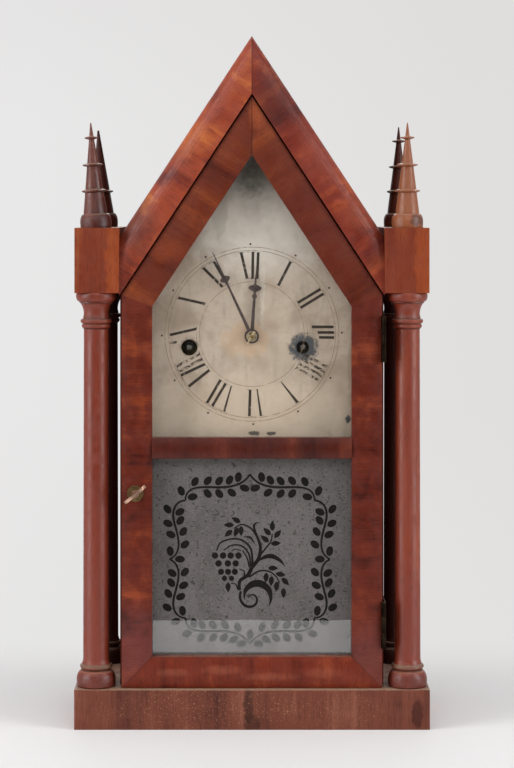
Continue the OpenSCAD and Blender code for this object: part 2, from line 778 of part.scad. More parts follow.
// How far a piece that is set into another starts or ends below its face
sunk = 0.1;
module great_wheel(at, mate, lean) {
    aim = heading(at, mate);
    upright(world(at)) {
        difference() {
            union() {
                toothed(great_teeth, great_module, great_pinion * great_module / 2,
                    great_wheel_y, aim, great_hub_r, 4, 5, 4);
                disc(great_wheel_y + sunk, great_wheel_y + wheel_t + boss_h, boss_r);
                rotate([0, 0, lean]) click_post();
            }
            disc(great_wheel_y - 2, great_wheel_y + 4, winding_r + running_play);
        }
    }
}
click_t = 1.6;
click_gap = 0.3;
click_y = great_wheel_y - click_gap - click_t;
click_at = [ratchet_r + 4.5, 0];
click_post_r = 1.1;
click_pad_r = 3.2;
click_arm_half = 2.6;
click_room = 0.35;
click_bite = 2.2;
click_eye_r = 2.8;
module click_post() {
    translate(click_at) {
        disc(click_y - 0.2, great_wheel_y + 2 * sunk, click_post_r);
        disc(great_wheel_y + sunk, great_wheel_y + wheel_t - sunk, click_pad_r);
    }
    slab(great_wheel_y + sunk, great_wheel_y + wheel_t - sunk)
        polygon([[great_hub_r - 2, -click_arm_half], [great_hub_r - 2, click_arm_half],
            [click_at[0], click_arm_half], [click_at[0], -click_arm_half]]);
}
ratchet_root = ratchet_r - 2;
tooth_step = 360 / ratchet_teeth;
face_share = 0.06;
function ratchet_spot(r, k) = r * [cos(k * tooth_step), sin(k * tooth_step)];
function ratchet_points() = [for (k = [0:ratchet_teeth - 1],
    spot = [ratchet_spot(ratchet_root, k + face_share), ratchet_spot(ratchet_r, k)]) spot];
module winding_arbor(at, lean) {
    square_tip = dial_y + 3;
    upright(world(at)) {
        disc(plate_y - 1.5, rear_y - 0.4, winding_r);
        disc(rear_y - 0.5, plate_back - running_play, 2 * pivot_r);
        slab(square_tip, plate_y - 1.4)
            square(winding_square, center = true);
        rotate([0, 0, lean]) slab(click_y, click_y + click_t) polygon(ratchet_points());
        disc(great_wheel_y + wheel_t + boss_h + running_play, great_wheel_y + wheel_t + 2 * boss_h,
            boss_r - 1);
    }
}
// A click whose nose rests in a tooth, drawn round its post
click_tooth = 3;
function click_points() = let (
        root = ratchet_spot(ratchet_root, click_tooth + face_share),
        face = unit(ratchet_spot(ratchet_r, click_tooth) - root),
        ramp = unit(ratchet_spot(ratchet_r, click_tooth - 1) - root),
        nose = root + click_room * unit(face + ramp) - click_at)
    concat(arc([0, 0], click_eye_r, -160, 25, 8),
        [nose + click_bite * face, nose, nose + 1.75 * click_bite * ramp]);
module click(at, lean) {
    upright(world(at)) rotate([0, 0, lean]) translate(click_at) difference() {
        slab(click_y, click_y + click_t) polygon(click_points());
        disc(click_y - board_over, click_y + click_t + board_over, click_post_r + running_play);
    }
}
time_lean = -90;
strike_lean = 90;
module time_great_wheel() {
    color(brass) great_wheel(time_at, center_at, time_lean);
}
module time_winding_arbor() {
    color(steel) winding_arbor(time_at, time_lean);
}
module time_click() {
    color(steel) click(time_at, time_lean);
}
cannon_r = 2.1;
hand_arbor_r = 1.2;
hand_tip_y = dial_y - 9;
module center_wheel() {
    aim_third = heading(center_at, third_at);
    color(brass) upright(world(center_at)) {
        toothed(center_teeth, center_module, third_pinion * center_module / 2, center_wheel_y,
            aim_third, 5);
        lantern(great_pinion, great_module, great_wheel_y - lantern_side,
            great_wheel_y + wheel_t + lantern_side, heading(center_at, time_at));
        arbor(arbor_r, inner_y);
        difference() {
            disc(hand_tip_y, inner_y + 1, hand_arbor_r);
            taper_pin(taper_pin_r + seat_play);
        }
    }
}
module third_wheel() {
    color(brass) upright(world(third_at)) {
        toothed(third_teeth, third_module, third_pinion * third_module / 2, third_wheel_y,
            heading(third_at, escape_at), 4.5);
        lantern(third_pinion, center_module, center_wheel_y - lantern_side,
            center_wheel_y + wheel_t + lantern_side, heading(third_at, center_at));
        arbor(slender_r);
    }
}
escape_t = 1;
function escape_points() = [for (k = [0:escape_teeth - 1],
        p = [[escape_r - 2.4, -0.28], [escape_r, 0], [escape_r, 0.05], [escape_r - 2.4, 0.2]])
    p[0] * [cos((k + p[1]) * 360 / escape_teeth), sin((k + p[1]) * 360 / escape_teeth)]];
module escape_wheel() {
    color(brass) upright(world(escape_at)) {
        difference() {
            slab(escape_wheel_y, escape_wheel_y + escape_t) polygon(escape_points());
            for (k = [0:3]) rotate([0, 0, 90 * k])
                slab(escape_wheel_y - board_over, escape_wheel_y + escape_t + board_over)
                    polygon(window_points(3.5, escape_r - 4, 2, 90));
        }
        lantern(third_pinion, third_module, third_wheel_y - lantern_side,
            third_wheel_y + wheel_t + lantern_side, heading(escape_at, third_at));
        arbor(slender_r, escape_wheel_y - 0.6);
        disc(escape_wheel_y + escape_t, escape_wheel_y + escape_t + 1, 2.2);
    }
}

// Verge: a bent strip over the escape wheel, a hub on its stud and a crutch round the rod
stud_r = 1.2;
pallet_x = 8.2;
strip_t = 0.9;
strip_over = 0.8;
strip_path = [[-pallet_x, -3.2], [-pallet_x - 0.7, 0.4], [-3, 2.7], [3, 2.7],
    [pallet_x + 0.7, 0.4], [pallet_x, -3.2]];
crutch_drop = 22;
crutch_y = escape_wheel_y - 2.6;
crutch_r = 0.6;
fork_half = rod_r + 0.3 + crutch_r;
// A strip of even thickness along a path, with mitred corners
function unit(v) = v / norm(v);
function side_step(path, i) = let (
        u = unit(path[min(i + 1, len(path) - 1)] - path[min(i, len(path) - 2)]),
        v = unit(path[max(i, 1)] - path[max(i - 1, 0)]))
    [-u[1] - v[1], u[0] + v[0]] / (1 + u * v);
module strip(path, t) {
    polygon(concat([for (i = [0:len(path) - 1]) path[i] + t / 2 * side_step(path, i)],
        [for (i = [len(path) - 1:-1:0]) path[i] - t / 2 * side_step(path, i)]));
}
module verge() {
    color(steel) upright(world(verge_at)) {
        slab(escape_wheel_y - strip_over, escape_wheel_y + escape_t + strip_over)
            strip(strip_path, strip_t);
        difference() {
            union() {
                disc(crutch_y - crutch_r, plate_y - 1.4, 2.3);
                slab(escape_wheel_y - strip_over + sunk, escape_wheel_y + escape_t + strip_over - sunk)
                    polygon([[-1.6, 0], [1.6, 0], [1.6, 2.7], [-1.6, 2.7]]);
            }
            disc(crutch_y - 2, plate_y, stud_r + running_play);
        }
        translate([0, -2, -crutch_y]) rotate([90, 0, 0])
            cylinder(h = crutch_drop - 2, r = crutch_r);
        translate([0, -crutch_drop, -crutch_y - crutch_r])
            cylinder(h = crutch_y - rod_y - rod_r + crutch_r - 0.4, r = crutch_r);
        translate([-fork_half, -crutch_drop, -rod_y - rod_r - 1]) rotate([0, 90, 0])
            cylinder(h = 2 * fork_half, r = crutch_r);
        for (x = [-fork_half, fork_half]) translate([x, -crutch_drop, -rod_y - rod_r - 1])
            cylinder(h = 2 * rod_r + 2, r = crutch_r);
    }
}

// Pendulum: a pin and thin spring in the slotted post, a wire rod, a rating nut and a bob
pendulum_pin_r = 0.6;
post_r = 2.6;
post_front = rod_y - 2.4;
slit_half = 1.4;
spring_leaf = 0.4;
clip_z = 12;
nut_r = 3;
nut_h = 3;
bob_bottom = pendulum_l + bob_r;
module pendulum_rod() {
    color(steel) upright(world(pendulum_at)) {
        disc(post_front + 0.2, rod_y + 2.2, pendulum_pin_r);
        slab(rod_y - slit_half + 0.2, rod_y + slit_half - 0.2)
            polygon([[-spring_leaf / 2, 0.5], [spring_leaf / 2, 0.5],
                [spring_leaf / 2, -clip_z], [-spring_leaf / 2, -clip_z]]);
        translate([0, -clip_z + 2, -rod_y]) rotate([90, 0, 0]) cylinder(h = 5, r = 2 * rod_r);
        translate([0, -clip_z, -rod_y]) rotate([90, 0, 0])
            cylinder(h = bob_bottom + nut_h + 4 - clip_z, r = rod_r);
        translate([0, -bob_bottom, -rod_y]) rotate([90, 0, 0]) cylinder(h = nut_h, r = nut_r);
    }
}
module pendulum_bob() {
    edge = 1;
    color(brass) upright(world(pendulum_at)) translate([0, -pendulum_l, -rod_y]) difference() {
        rotate_extrude() polygon(concat([[0, -bob_t / 2]],
            [for (i = [1:6]) [bob_r * i / 6, -edge / 2 - (bob_t - edge) / 2 * (1 - pow(i / 6, 2))]],
            [for (i = [6:-1:1]) [bob_r * i / 6, edge / 2 + (bob_t - edge) / 2 * (1 - pow(i / 6, 2))]],
            [[0, bob_t / 2]]));
        rotate([90, 0, 0]) translate([0, 0, -bob_r - board_over])
            cylinder(h = 2 * bob_r + 2 * board_over, r = rod_r + running_play);
    }
}

// Wheels behind the hands
pipe_r = 3.1;
minute_hand_y = dial_y - 5.4;
hour_hand_y = dial_y - 3;
hour_pipe_front = hour_hand_y - 0.1;
module minute_arbor() {
    color(brass) upright(world(center_at)) difference() {
        union() {
            disc(minute_hand_y - 0.1, plate_y - 1, cannon_r);
            rotate([0, 0, heading(center_at, minute_stud_at) + 180 / cannon_teeth])
                slab(motion_wheel_y - 0.2, motion_wheel_y + wheel_t + 0.2)
                    polygon(gear_points(cannon_teeth, motion_module,
                        minute_teeth * motion_module / 4, even_share, 2));
        }
        disc(minute_hand_y - 2, plate_y, hand_arbor_r + running_play);
    }
}
module minute_wheel() {
    color(brass) upright(world(minute_stud_at)) difference() {
        union() {
            rotate([0, 0, heading(minute_stud_at, center_at)])
                slab(motion_wheel_y, motion_wheel_y + wheel_t)
                    polygon(gear_points(minute_teeth, motion_module,
                        cannon_teeth * motion_module / 4, even_share, 2));
            rotate([0, 0, heading(minute_stud_at, center_at) + 180 / minute_pinion])
                slab(hour_wheel_y - 0.4, motion_wheel_y + 0.1)
                    polygon(gear_points(minute_pinion, motion_module,
                        hour_teeth * motion_module / 4, even_share, 2));
        }
        disc(hour_wheel_y - 2, plate_y, stud_r + running_play);
    }
}
module hour_wheel() {
    color(brass) upright(world(center_at)) difference() {
        union() {
            disc(hour_pipe_front, hour_wheel_y + wheel_t, pipe_r);
            rotate([0, 0, heading(center_at, minute_stud_at)])
                slab(hour_wheel_y, hour_wheel_y + wheel_t)
                    polygon(gear_points(hour_teeth, motion_module,
                        minute_pinion * motion_module / 4, even_share, 2));
        }
        disc(hour_pipe_front - 2, plate_y, cannon_r + running_play);
    }
}

// Hands: a slim blade with a cross near its end
minute_hub_r = 3.6;
hour_hub_r = 5.4;
hour_bead_r = 1.8;
module hand_blade(length, foot_w, tip_w, cross_at, cross_w) {
    polygon([[-foot_w / 2, 0], [-tip_w / 2, cross_at - 3], [-cross_w / 2, cross_at - 0.8],
        [-cross_w / 2, cross_at + 0.8], [-tip_w / 2, cross_at + 2.6], [-0.25, length],
        [0.25, length], [tip_w / 2, cross_at + 2.6], [cross_w / 2, cross_at + 0.8],
        [cross_w / 2, cross_at - 0.8], [tip_w / 2, cross_at - 3], [foot_w / 2, 0]]);
}
module minute_hand() {
    color(black_iron) upright(world(center_at)) difference() {
        rotate([0, 0, minute_turn]) {
            disc(minute_hand_y - sunk / 2, minute_hand_y + hand_t + sunk / 2, minute_hub_r);
            slab(minute_hand_y, minute_hand_y + hand_t)
                hand_blade(minute_hand_l, 2.6, 1.5, 0.68 * minute_hand_l, 0.11 * minute_hand_l);
        }
        disc(minute_hand_y - 2, minute_hand_y + 2, cannon_r + seat_play);
    }
}
module hour_hand() {
    color(black_iron) upright(world(center_at)) difference() {
        rotate([0, 0, hour_turn]) {
            disc(hour_hand_y - sunk / 2, hour_hand_y + hand_t + sunk / 2, hour_hub_r);
            slab(hour_hand_y, hour_hand_y + hand_t)
                hand_blade(hour_hand_l, 3, 1.7, 0.75 * hour_hand_l, 0.2 * hour_hand_l);
            translate([0, 0.62 * hour_hand_l])
                disc(hour_hand_y - sunk / 2, hour_hand_y + hand_t + sunk / 2, hour_bead_r);
        }
        disc(hour_hand_y - 2, hour_hand_y + 2, pipe_r + seat_play);
    }
}
washer_t = 0.6;
washer_r = 4;
washer_y = minute_hand_y - 0.3 - washer_t;
taper_pin_l = 11;
taper_pin_r = 0.5;
taper_pin_turn = 60;
module taper_pin(r) {
    translate([0, 0, -washer_y + 1.1 * taper_pin_r]) rotate([0, 0, taper_pin_turn]) rotate([0, 90, 0])
        translate([0, 0, -0.6 * taper_pin_l]) cylinder(h = taper_pin_l, r = r);
}
module hand_pin() {
    color(brass) upright(world(center_at)) {
        difference() {
            disc(washer_y, washer_y + washer_t, washer_r);
            disc(washer_y - 1, washer_y + 2, hand_arbor_r + seat_play);
        }
        taper_pin(taper_pin_r);
    }
}

// Strike train
module strike_great_wheel() {
    color(brass) great_wheel(strike_at, second_at, strike_lean);
}
module strike_winding_arbor() {
    color(steel) winding_arbor(strike_at, strike_lean);
}
module strike_click() {
    color(steel) click(strike_at, strike_lean);
}
lift_pins = 6;
lift_pin_r = 0.8;
lift_circle = 15;
lift_pin_l = 2.4;
module strike_second_wheel() {
    color(brass) upright(world(second_at)) {
        toothed(second_teeth, third_module, third_pinion * third_module / 2, center_wheel_y,
            heading(second_at, strike_third_at), 5, 4, 3, 3.2);
        for (k = [0:lift_pins - 1]) rotate([0, 0, (k + 0.5) * 360 / lift_pins])
            translate([lift_circle + 1.4, 0, 0])
                disc(center_wheel_y - lift_pin_l, center_wheel_y + 0.1, lift_pin_r);
        lantern(great_pinion, great_module, great_wheel_y - lantern_side,
            great_wheel_y + wheel_t + lantern_side, heading(second_at, strike_at));
        arbor(arbor_r);
    }
}
module strike_third_wheel() {
    color(brass) upright(world(strike_third_at)) {
        toothed(third_teeth, fly_module, third_pinion * fly_module / 2, third_wheel_y,
            heading(strike_third_at, fly_at), 4.5);
        lantern(third_pinion, third_module, center_wheel_y - lantern_side,
            center_wheel_y + wheel_t + lantern_side, heading(strike_third_at, second_at));
        arbor(slender_r);
    }
}
fly_r = 10;
fly_t = 0.4;
fly_low = inner_y + 8;
fly_high = inner_y + 22;
module fly() {
    color(brass) upright(world(fly_at)) {
        slab(fly_low, fly_high) square([2 * fly_r, fly_t], center = true);
        disc(fly_low + 3, fly_high - 3, 2.2);
        lantern(third_pinion, fly_module, third_wheel_y - lantern_side,
            third_wheel_y + wheel_t + lantern_side, heading(fly_at, strike_third_at));
        arbor(slender_r);
    }
}

// Hammer: an arbor, a tail near the lifting pins, a bent wire arm and a brass head
arm_r = 1;
gong_stand = 14;
gong_y = case_back - gong_stand;
tail_l = norm(second_at - hammer_at) - lift_circle - 1.4 - lift_pin_r - 0.5;
arm_bend = 14;
arm_back = 16;
head_r = 4.5;
head_l = 9;
gong_x = -8;
strike_gap = 1.6;
head_x = gong_x - gong_r - gong_wire_r - strike_gap - head_l / 2;
module rod_between(p, q, r) {
    d = q - p;
    translate(p) rotate([0, acos(d[2] / norm(d)), atan2(d[1], d[0])]) cylinder(h = norm(d), r = r);
}
module hammer() {
    arm_y = center_wheel_y - 1.2;
    x0 = hammer_at[0];
    z0 = arbor_z + hammer_at[1];
    low = z0 - hammer_l;
    path = [[x0, arm_y, z0], [x0, arm_y, z0 - arm_bend],
        [head_x, gong_y, z0 - arm_bend - arm_back], [head_x, gong_y, low]];
    color(steel) {
        upright(world(hammer_at)) {
            arbor(arbor_r);
            rotate([0, 0, heading(hammer_at, second_at)])
                slab(center_wheel_y - lift_pin_l, center_wheel_y - 0.4)
                    polygon([[0, -1.2], [tail_l, -0.7], [tail_l, 0.7], [0, 1.2]]);
        }
        for (i = [0:2]) rod_between(path[i], path[i + 1], arm_r);
        for (i = [1:2]) translate(path[i]) sphere(r = 1.25 * arm_r);
        translate([head_x - head_l / 2, gong_y, low]) rotate([0, 90, 0])
            cylinder(h = head_l, r = head_r);
    }
}

// Plates, pillars and studs
plate_outline = [[-72, -60], [42, -60], [50, -30], [50, 6], [36, 46], [8, 52], [0, 80],
    [-26, 80], [-32, 52], [-48, 46], [-57, 6], [-57, -30]];
pillar_places = [[-66, -50], [34, -54], [30, 40], [-40, 40]];
pillar_tenon_r = 1.8;
ear_places = [[-79, -56], [56, -56], [45, 41], [-57, 41]];
ear_half = 6;
rail_h = 13;
screw_r = 1.6;
arbor_places = [third_at, second_at, strike_third_at, fly_at, hammer_at];
module hole(at, r) {
    translate(at) disc(plate_y - board_over, plate_back + board_over, r);
}
module shared_holes() {
    for (p = arbor_places) hole(p, pivot_r + running_play);
    for (p = pillar_places) hole(p, pillar_tenon_r + seat_play);
}
module windows() {
    for (w = [[[-14, -14], 8], [[14, -26], 9], [[14, 24], 8], [[-30, 22], 9]])
        translate(w[0]) disc(plate_y - board_over, plate_back + board_over, w[1]);
}
module front_plate() {
    color(brass) upright(world([0, 0])) difference() {
        slab(plate_y, inner_y) polygon(plate_outline);
        shared_holes();
        windows();
        hole(escape_at, pivot_r + running_play);
        hole(center_at, hand_arbor_r + running_play);
        for (p = [time_at, strike_at]) hole(p, winding_r + running_play);
        for (p = [verge_at, minute_stud_at]) hole(p, stud_r + seat_play);
        hole(pendulum_at, 2 * stud_r + seat_play);
    }
}
module back_plate() {
    color(brass) upright(world([0, 0])) difference() {
        slab(rear_y, plate_back) union() {
            polygon(plate_outline);
            for (p = ear_places) translate([p[0] > 0 ? p[0] - 3 * ear_half : p[0] - ear_half, p[1] - 4])
                square([4 * ear_half, 8]);
        }
        shared_holes();
        windows();
        hole(escape_at, pivot_r + running_play);
        hole(center_at, pivot_r + running_play);
        for (p = [time_at, strike_at]) hole(p, 2 * pivot_r + running_play);
        for (p = ear_places) hole(p, screw_r + seat_play);
    }
}
module plate_pillars() {
    color(steel) upright(world([0, 0])) for (p = pillar_places) translate(p) {
        disc(inner_y, rear_y, pillar_r);
        disc(plate_y, plate_back, pillar_tenon_r);
    }
}
module front_studs() {
    color(steel) {
        upright(world(verge_at)) {
            disc(crutch_y - 1.6, inner_y, stud_r);
            disc(plate_y - 1.2, plate_y, 2.2);
        }
        upright(world(minute_stud_at)) {
            disc(hour_wheel_y - 1.6, inner_y, stud_r);
            disc(motion_wheel_y + wheel_t + 0.2, plate_y, 2.4);
        }
        upright(world(pendulum_at)) difference() {
            union() {
                disc(post_front, plate_y, post_r);
                disc(plate_y, inner_y, 2 * stud_r);
            }
            disc(post_front - 1, rod_y + 2.4, pendulum_pin_r + running_play);
            slab(rod_y - slit_half, rod_y + slit_half)
                polygon([[-0.6, 1.4], [0.6, 1.4], [0.6, -post_r - 1], [-0.6, -post_r - 1]]);
        }
    }
}

// Wooden rails behind the movement, and the screws of rails, gong and dial
rail_heights = [ear_places[0][1], ear_places[2][1]];
module movement_rails() {
    color(pine) difference() {
        for (z = rail_heights)
            box(-inner_half, inner_half, plate_back, case_back,
                arbor_z + z - rail_h / 2, arbor_z + z + rail_h / 2);
        upright(world([0, 0])) for (p = ear_places)
            translate(p) disc(plate_back - 1, plate_back + screw_l, screw_r + seat_play);
    }
}
screw_l = 12;
screw_head_r = 3;
screw_head_t = 1.6;
gong_screw_reach = 11;
module screws() {
    color(steel) {
        upright(world([0, 0])) for (p = ear_places) translate(p) {
            disc(rear_y - screw_head_t, rear_y, screw_head_r);
            disc(rear_y, plate_back + screw_l - 1, screw_r);
        }
        upright([gong_x + gong_foot_x, gong_z]) for (z = [-1, 1]) translate([0, z * gong_screw_reach]) {
            disc(gong_foot_y - screw_head_t, gong_foot_y, screw_head_r);
            disc(gong_foot_y, case_back + back_t / 2, screw_r);
        }
        both_sides() for (z = dial_screw_heights) upright([dial_half_w - dial_screw_inset, z]) {
            disc(dial_y - dial_screw_head_t, dial_y, dial_screw_head);
            disc(dial_y, dial_y + dial_screw_l, dial_screw_r);
        }
    }
}

// Dial plate on two cleats
cleat_w = inner_half - dial_half_w + 6;
cleat_t = 12;
dial_screw_r = 1;
dial_screw_head = 2;
dial_screw_head_t = 0.8;
dial_screw_l = 9;
dial_screw_inset = 2.2;
dial_screw_heights = [dial_low_z + 14, arbor_z + 20];
dial_shape = gable_shape(dial_half_w, dial_low_z, open_inward - 8);
module dial_plate() {
    color(cream) upright() difference() {
        slab(dial_y, dial_y + dial_t) polygon(dial_shape);
        translate(world(center_at)) disc(dial_y - 1, dial_y + 2, pipe_r + 1.9);
        translate(world(time_at)) disc(dial_y - 1, dial_y + 2, time_hole_r);
        translate(world(strike_at)) disc(dial_y - 1, dial_y + 2, strike_hole_r);
        for (x = [-1, 1], z = dial_screw_heights)
            translate([x * (dial_half_w - dial_screw_inset), z])
                disc(dial_y - 1, dial_y + 2, dial_screw_r + seat_play);
    }
}
module dial_cleats() {
    cleat_back = dial_y + dial_t + cleat_t;
    color(pine) both_sides() difference() {
        box(inner_half - cleat_w, inner_half, dial_y + dial_t, cleat_back, dial_low_z,
            roof_z(dial_half_w, open_inward));
        for (z = dial_screw_heights) upright([dial_half_w - dial_screw_inset, z])
            disc(dial_y, dial_y + dial_screw_l + 1, dial_screw_r + seat_play);
    }
}

// Mainsprings: one strip wound outward, with a straight tail to a loop round its pillar
spring_inner = 6.6;
spring_steps = 18;
spring_y = rear_y - 7.5 - spring_w;
loop_t = spring_t + 2 * sunk;
loop_r = pillar_r + loop_t / 2;
function spring_path(end) = let (count = spring_turns * spring_steps)
    [for (i = [0:count]) let (a = end + 360 * spring_turns - i * 360 / spring_steps)
        (spring_inner + (spring_r - spring_inner) * i / count) * [cos(a), sin(a)]];
function least_gap(path, per_turn, thick) =
    min([for (i = [0:len(path) - per_turn - 1]) norm(path[i + per_turn] - path[i])]) - thick;
module mainspring(at, pillar) {
    link = pillar - at;
    end = atan2(link[1], link[0]) + acos((spring_r - loop_r) / norm(link));
    path = spring_path(end);
    n = len(path);
    side = [cos(end), sin(end)];
    tail1 = link + loop_r * side;
    tail0 = spring_r * side + spring_t * (spring_r * side - tail1) / norm(spring_r * side - tail1);
    echo("mainspring, least gap between turns", least_gap(path, spring_steps, spring_t));
    upright(world(at)) {
        slab(spring_y, spring_y + spring_w) {
            polygon(concat(
                [for (p = path) p * (1 + spring_t / 2 / norm(p))],
                [for (i = [n - 1:-1:0]) path[i] * (1 - spring_t / 2 / norm(path[i]))]));
            strip([tail0, tail1], spring_t);
        }
        translate(link) difference() {
            disc(spring_y + sunk, spring_y + spring_w - sunk, pillar_r + loop_t);
            disc(spring_y - 1, spring_y + spring_w + 1, pillar_r);
        }
    }
}
module time_mainspring() {
    color(steel) mainspring(time_at, pillar_places[1]);
}
module strike_mainspring() {
    color(steel) mainspring(strike_at, pillar_places[0]);
}

// Gong: a wire coil of triangles whose inner end stands on its iron block
gong_inner = 10;
gong_steps = 24;
wire_sides = 6;
lead = 2 * gong_wire_r;
gong_count = gong_turns * gong_steps;
function gong_point(i) = (gong_inner + (gong_r - gong_inner) * i / gong_count)
    * [cos(i * 360 / gong_steps), sin(i * 360 / gong_steps)];
gong_path = concat([gong_point(0) - [0, lead]], [for (i = [0:gong_count]) gong_point(i)]);
gong_rings = len(gong_path);
function gong_side(i) = let (
        p = gong_path[max(i - 1, 0)],
        q = gong_path[min(i + 1, gong_rings - 1)],
        d = i == 0 ? [0, 1] : (q - p) / norm(q - p))
    [d[1], -d[0]];
gong_points = [for (i = [0:gong_rings - 1], k = [0:wire_sides - 1])
    let (a = k * 360 / wire_sides, s = gong_side(i))
    [gong_path[i][0] + gong_wire_r * cos(a) * s[0], gong_path[i][1] + gong_wire_r * cos(a) * s[1],
     gong_wire_r * sin(a)]];
gong_faces = concat(
    [for (i = [0:gong_rings - 2], k = [0:wire_sides - 1]) let (
            a = i * wire_sides + k,
            b = i * wire_sides + (k + 1) % wire_sides) each [
        [a, b, a + wire_sides], [b, b + wire_sides, a + wire_sides]]],
    [for (k = [1:wire_sides - 2]) [0, k + 1, k]],
    [for (k = [1:wire_sides - 2]) let (e = (gong_rings - 1) * wire_sides) [e, e + k, e + k + 1]]);
module gong_coil() {
    echo("gong coil, least gap between turns",
        least_gap([for (i = [1:gong_rings - 1]) gong_path[i]], gong_steps, 2 * gong_wire_r));
    color(steel) upright([gong_x, gong_z]) translate([0, 0, -gong_y])
        polyhedron(points = gong_points, faces = gong_faces);
}
gong_foot_x = gong_inner;
gong_foot_r = 15;
gong_foot_t = 4;
gong_foot_y = case_back - gong_foot_t;
block_half = 3.4;
module gong_base() {
    color(black_iron) upright([gong_x + gong_foot_x, gong_z]) difference() {
        union() {
            disc(gong_foot_y, case_back, gong_foot_r);
            slab(gong_y - 3, gong_foot_y + 1) polygon([
                [-block_half, -lead], [block_half, -lead],
                [block_half, -lead - 4], [-block_half, -lead - 4]]);
        }
        for (z = [-gong_screw_reach, gong_screw_reach]) translate([0, z])
            disc(gong_foot_y - 1, case_back + 1, screw_r + seat_play);
    }
}

base_front_board();
base_end_boards();
base_back_board();
base_top_board();
base_bottom_board();
case_sides();
roof_boards();
back_board();
gable_moulding_left();
gable_moulding_right();
front_columns();
rear_columns();
cornice_blocks();
front_spires();
rear_spires();
latch_keeper();
dial_cleats();
dial_plate();
movement_rails();
screws();
front_plate();
back_plate();
plate_pillars();
front_studs();
time_mainspring();
strike_mainspring();
gong_coil();
gong_base();
case_hinges();
door_stiles();
door_rafters();
door_mid_rail();
door_bottom_rail();
upper_glass();
lower_glass();
door_hinges();
knob_plate();
door_knob();
time_great_wheel();
time_winding_arbor();
time_click();
center_wheel();
third_wheel();
escape_wheel();
verge();
pendulum_rod();
pendulum_bob();
minute_arbor();
minute_hand();
hand_pin();
minute_wheel();
hour_wheel();
hour_hand();
strike_great_wheel();
strike_winding_arbor();
strike_click();
strike_second_wheel();
strike_third_wheel();
fly();
hammer();
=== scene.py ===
"""Dresses the steeple clock's solids for a studio picture: wood, glass, dial, hands and lamps."""

import logging
import math
from dataclasses import dataclass, replace
from enum import Enum

import bpy
import numpy as np
from mathutils.geometry import delaunay_2d_cdt
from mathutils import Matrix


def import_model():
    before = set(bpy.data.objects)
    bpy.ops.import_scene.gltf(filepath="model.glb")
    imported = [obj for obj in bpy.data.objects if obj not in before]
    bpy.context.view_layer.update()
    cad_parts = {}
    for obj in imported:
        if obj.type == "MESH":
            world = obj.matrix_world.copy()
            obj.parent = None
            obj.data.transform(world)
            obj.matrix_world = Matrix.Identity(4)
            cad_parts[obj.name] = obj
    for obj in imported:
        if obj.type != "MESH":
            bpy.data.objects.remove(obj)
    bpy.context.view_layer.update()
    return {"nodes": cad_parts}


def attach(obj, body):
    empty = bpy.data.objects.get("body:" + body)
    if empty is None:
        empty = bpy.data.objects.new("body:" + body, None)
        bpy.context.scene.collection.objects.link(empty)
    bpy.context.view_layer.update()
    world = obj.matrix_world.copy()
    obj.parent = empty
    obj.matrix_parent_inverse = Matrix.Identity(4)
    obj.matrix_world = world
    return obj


MM = 0.001
FULL_TURN = 2 * math.pi
ANY_DEPTH = 1e6
WHITE = (1.0, 1.0, 1.0, 1.0)
SMOOTH = {"interpolation_type": "SMOOTHSTEP"}
COLOUR = {"data_type": "RGBA"}
Tree = bpy.types.NodeTree
Socket = bpy.types.NodeSocket
Material = bpy.types.Material
log = logging.getLogger("steeple_clock")


def linear(code: str) -> tuple[float, float, float, float]:
    """Turns a colour as seen on a screen into the linear colour that shaders use.

    Args:
        code: sRGB colour as six hex digits.

    Returns:
        Linear red, green, blue and an alpha of one.
    """
    seen = np.array([int(code[i : i + 2], 16) for i in (0, 2, 4)]) / 255
    lit = np.where(seen <= 0.04045, seen / 12.92, ((seen + 0.055) / 1.055) ** 2.4)
    return (*lit.tolist(), 1.0)


def add(tree: Tree, kind: str, feeds: dict | tuple = (), **settings) -> Socket | None:
    """Adds a node with its settings, and fills or links its inputs.

    Args:
        tree: The node tree that gets the node.
        kind: The node's type name, without the word ShaderNode.
        feeds: Values and sockets for its inputs, in their order or by name or number.
        **settings: Properties of the node itself.

    Returns:
        The node's main output socket, or None for a node without outputs.
    """
    node = tree.nodes.new("ShaderNode" + kind)
    for name, value in settings.items():
        setattr(node, name, value)
    for name, value in feeds.items() if isinstance(feeds, dict) else enumerate(feeds):
        if isinstance(value, Socket):
            tree.links.new(value, node.inputs[name])
        else:
            node.inputs[name].default_value = value
    lit = [socket for socket in node.outputs if socket.enabled]
    return lit[0] if lit else None


def fresh(name: str) -> Material:
    """Makes an empty node material.

    Args:
        name: The material's name.

    Returns:
        The material, with no nodes in its tree.
    """
    material = bpy.data.materials.new(name)
    material.use_nodes = True
    material.node_tree.nodes.clear()
    return material


def piece(
    name: str, body: str, points: np.ndarray, faces: list, finish: Material
) -> bpy.types.Object:
    """Makes a flat-shaded mesh object that rides on one of the clock's bodies.

    Args:
        name: The piece's name.
        body: The body that carries it.
        points: Corner places in millimetres, one row each.
        faces: Faces as rows of corner numbers.
        finish: The material.

    Returns:
        The new object.
    """
    mesh = bpy.data.meshes.new(name)
    mesh.from_pydata((np.asarray(points, float) * MM).tolist(), [], faces)
    mesh.polygons.foreach_set("use_smooth", np.zeros(len(mesh.polygons), bool))
    mesh.materials.append(finish)
    mesh.update()
    made = bpy.data.objects.new(name, mesh)
    bpy.context.scene.collection.objects.link(made)
    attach(made, body)
    log.info("%s: %d faces on %s", name, len(mesh.polygons), body)
    return made


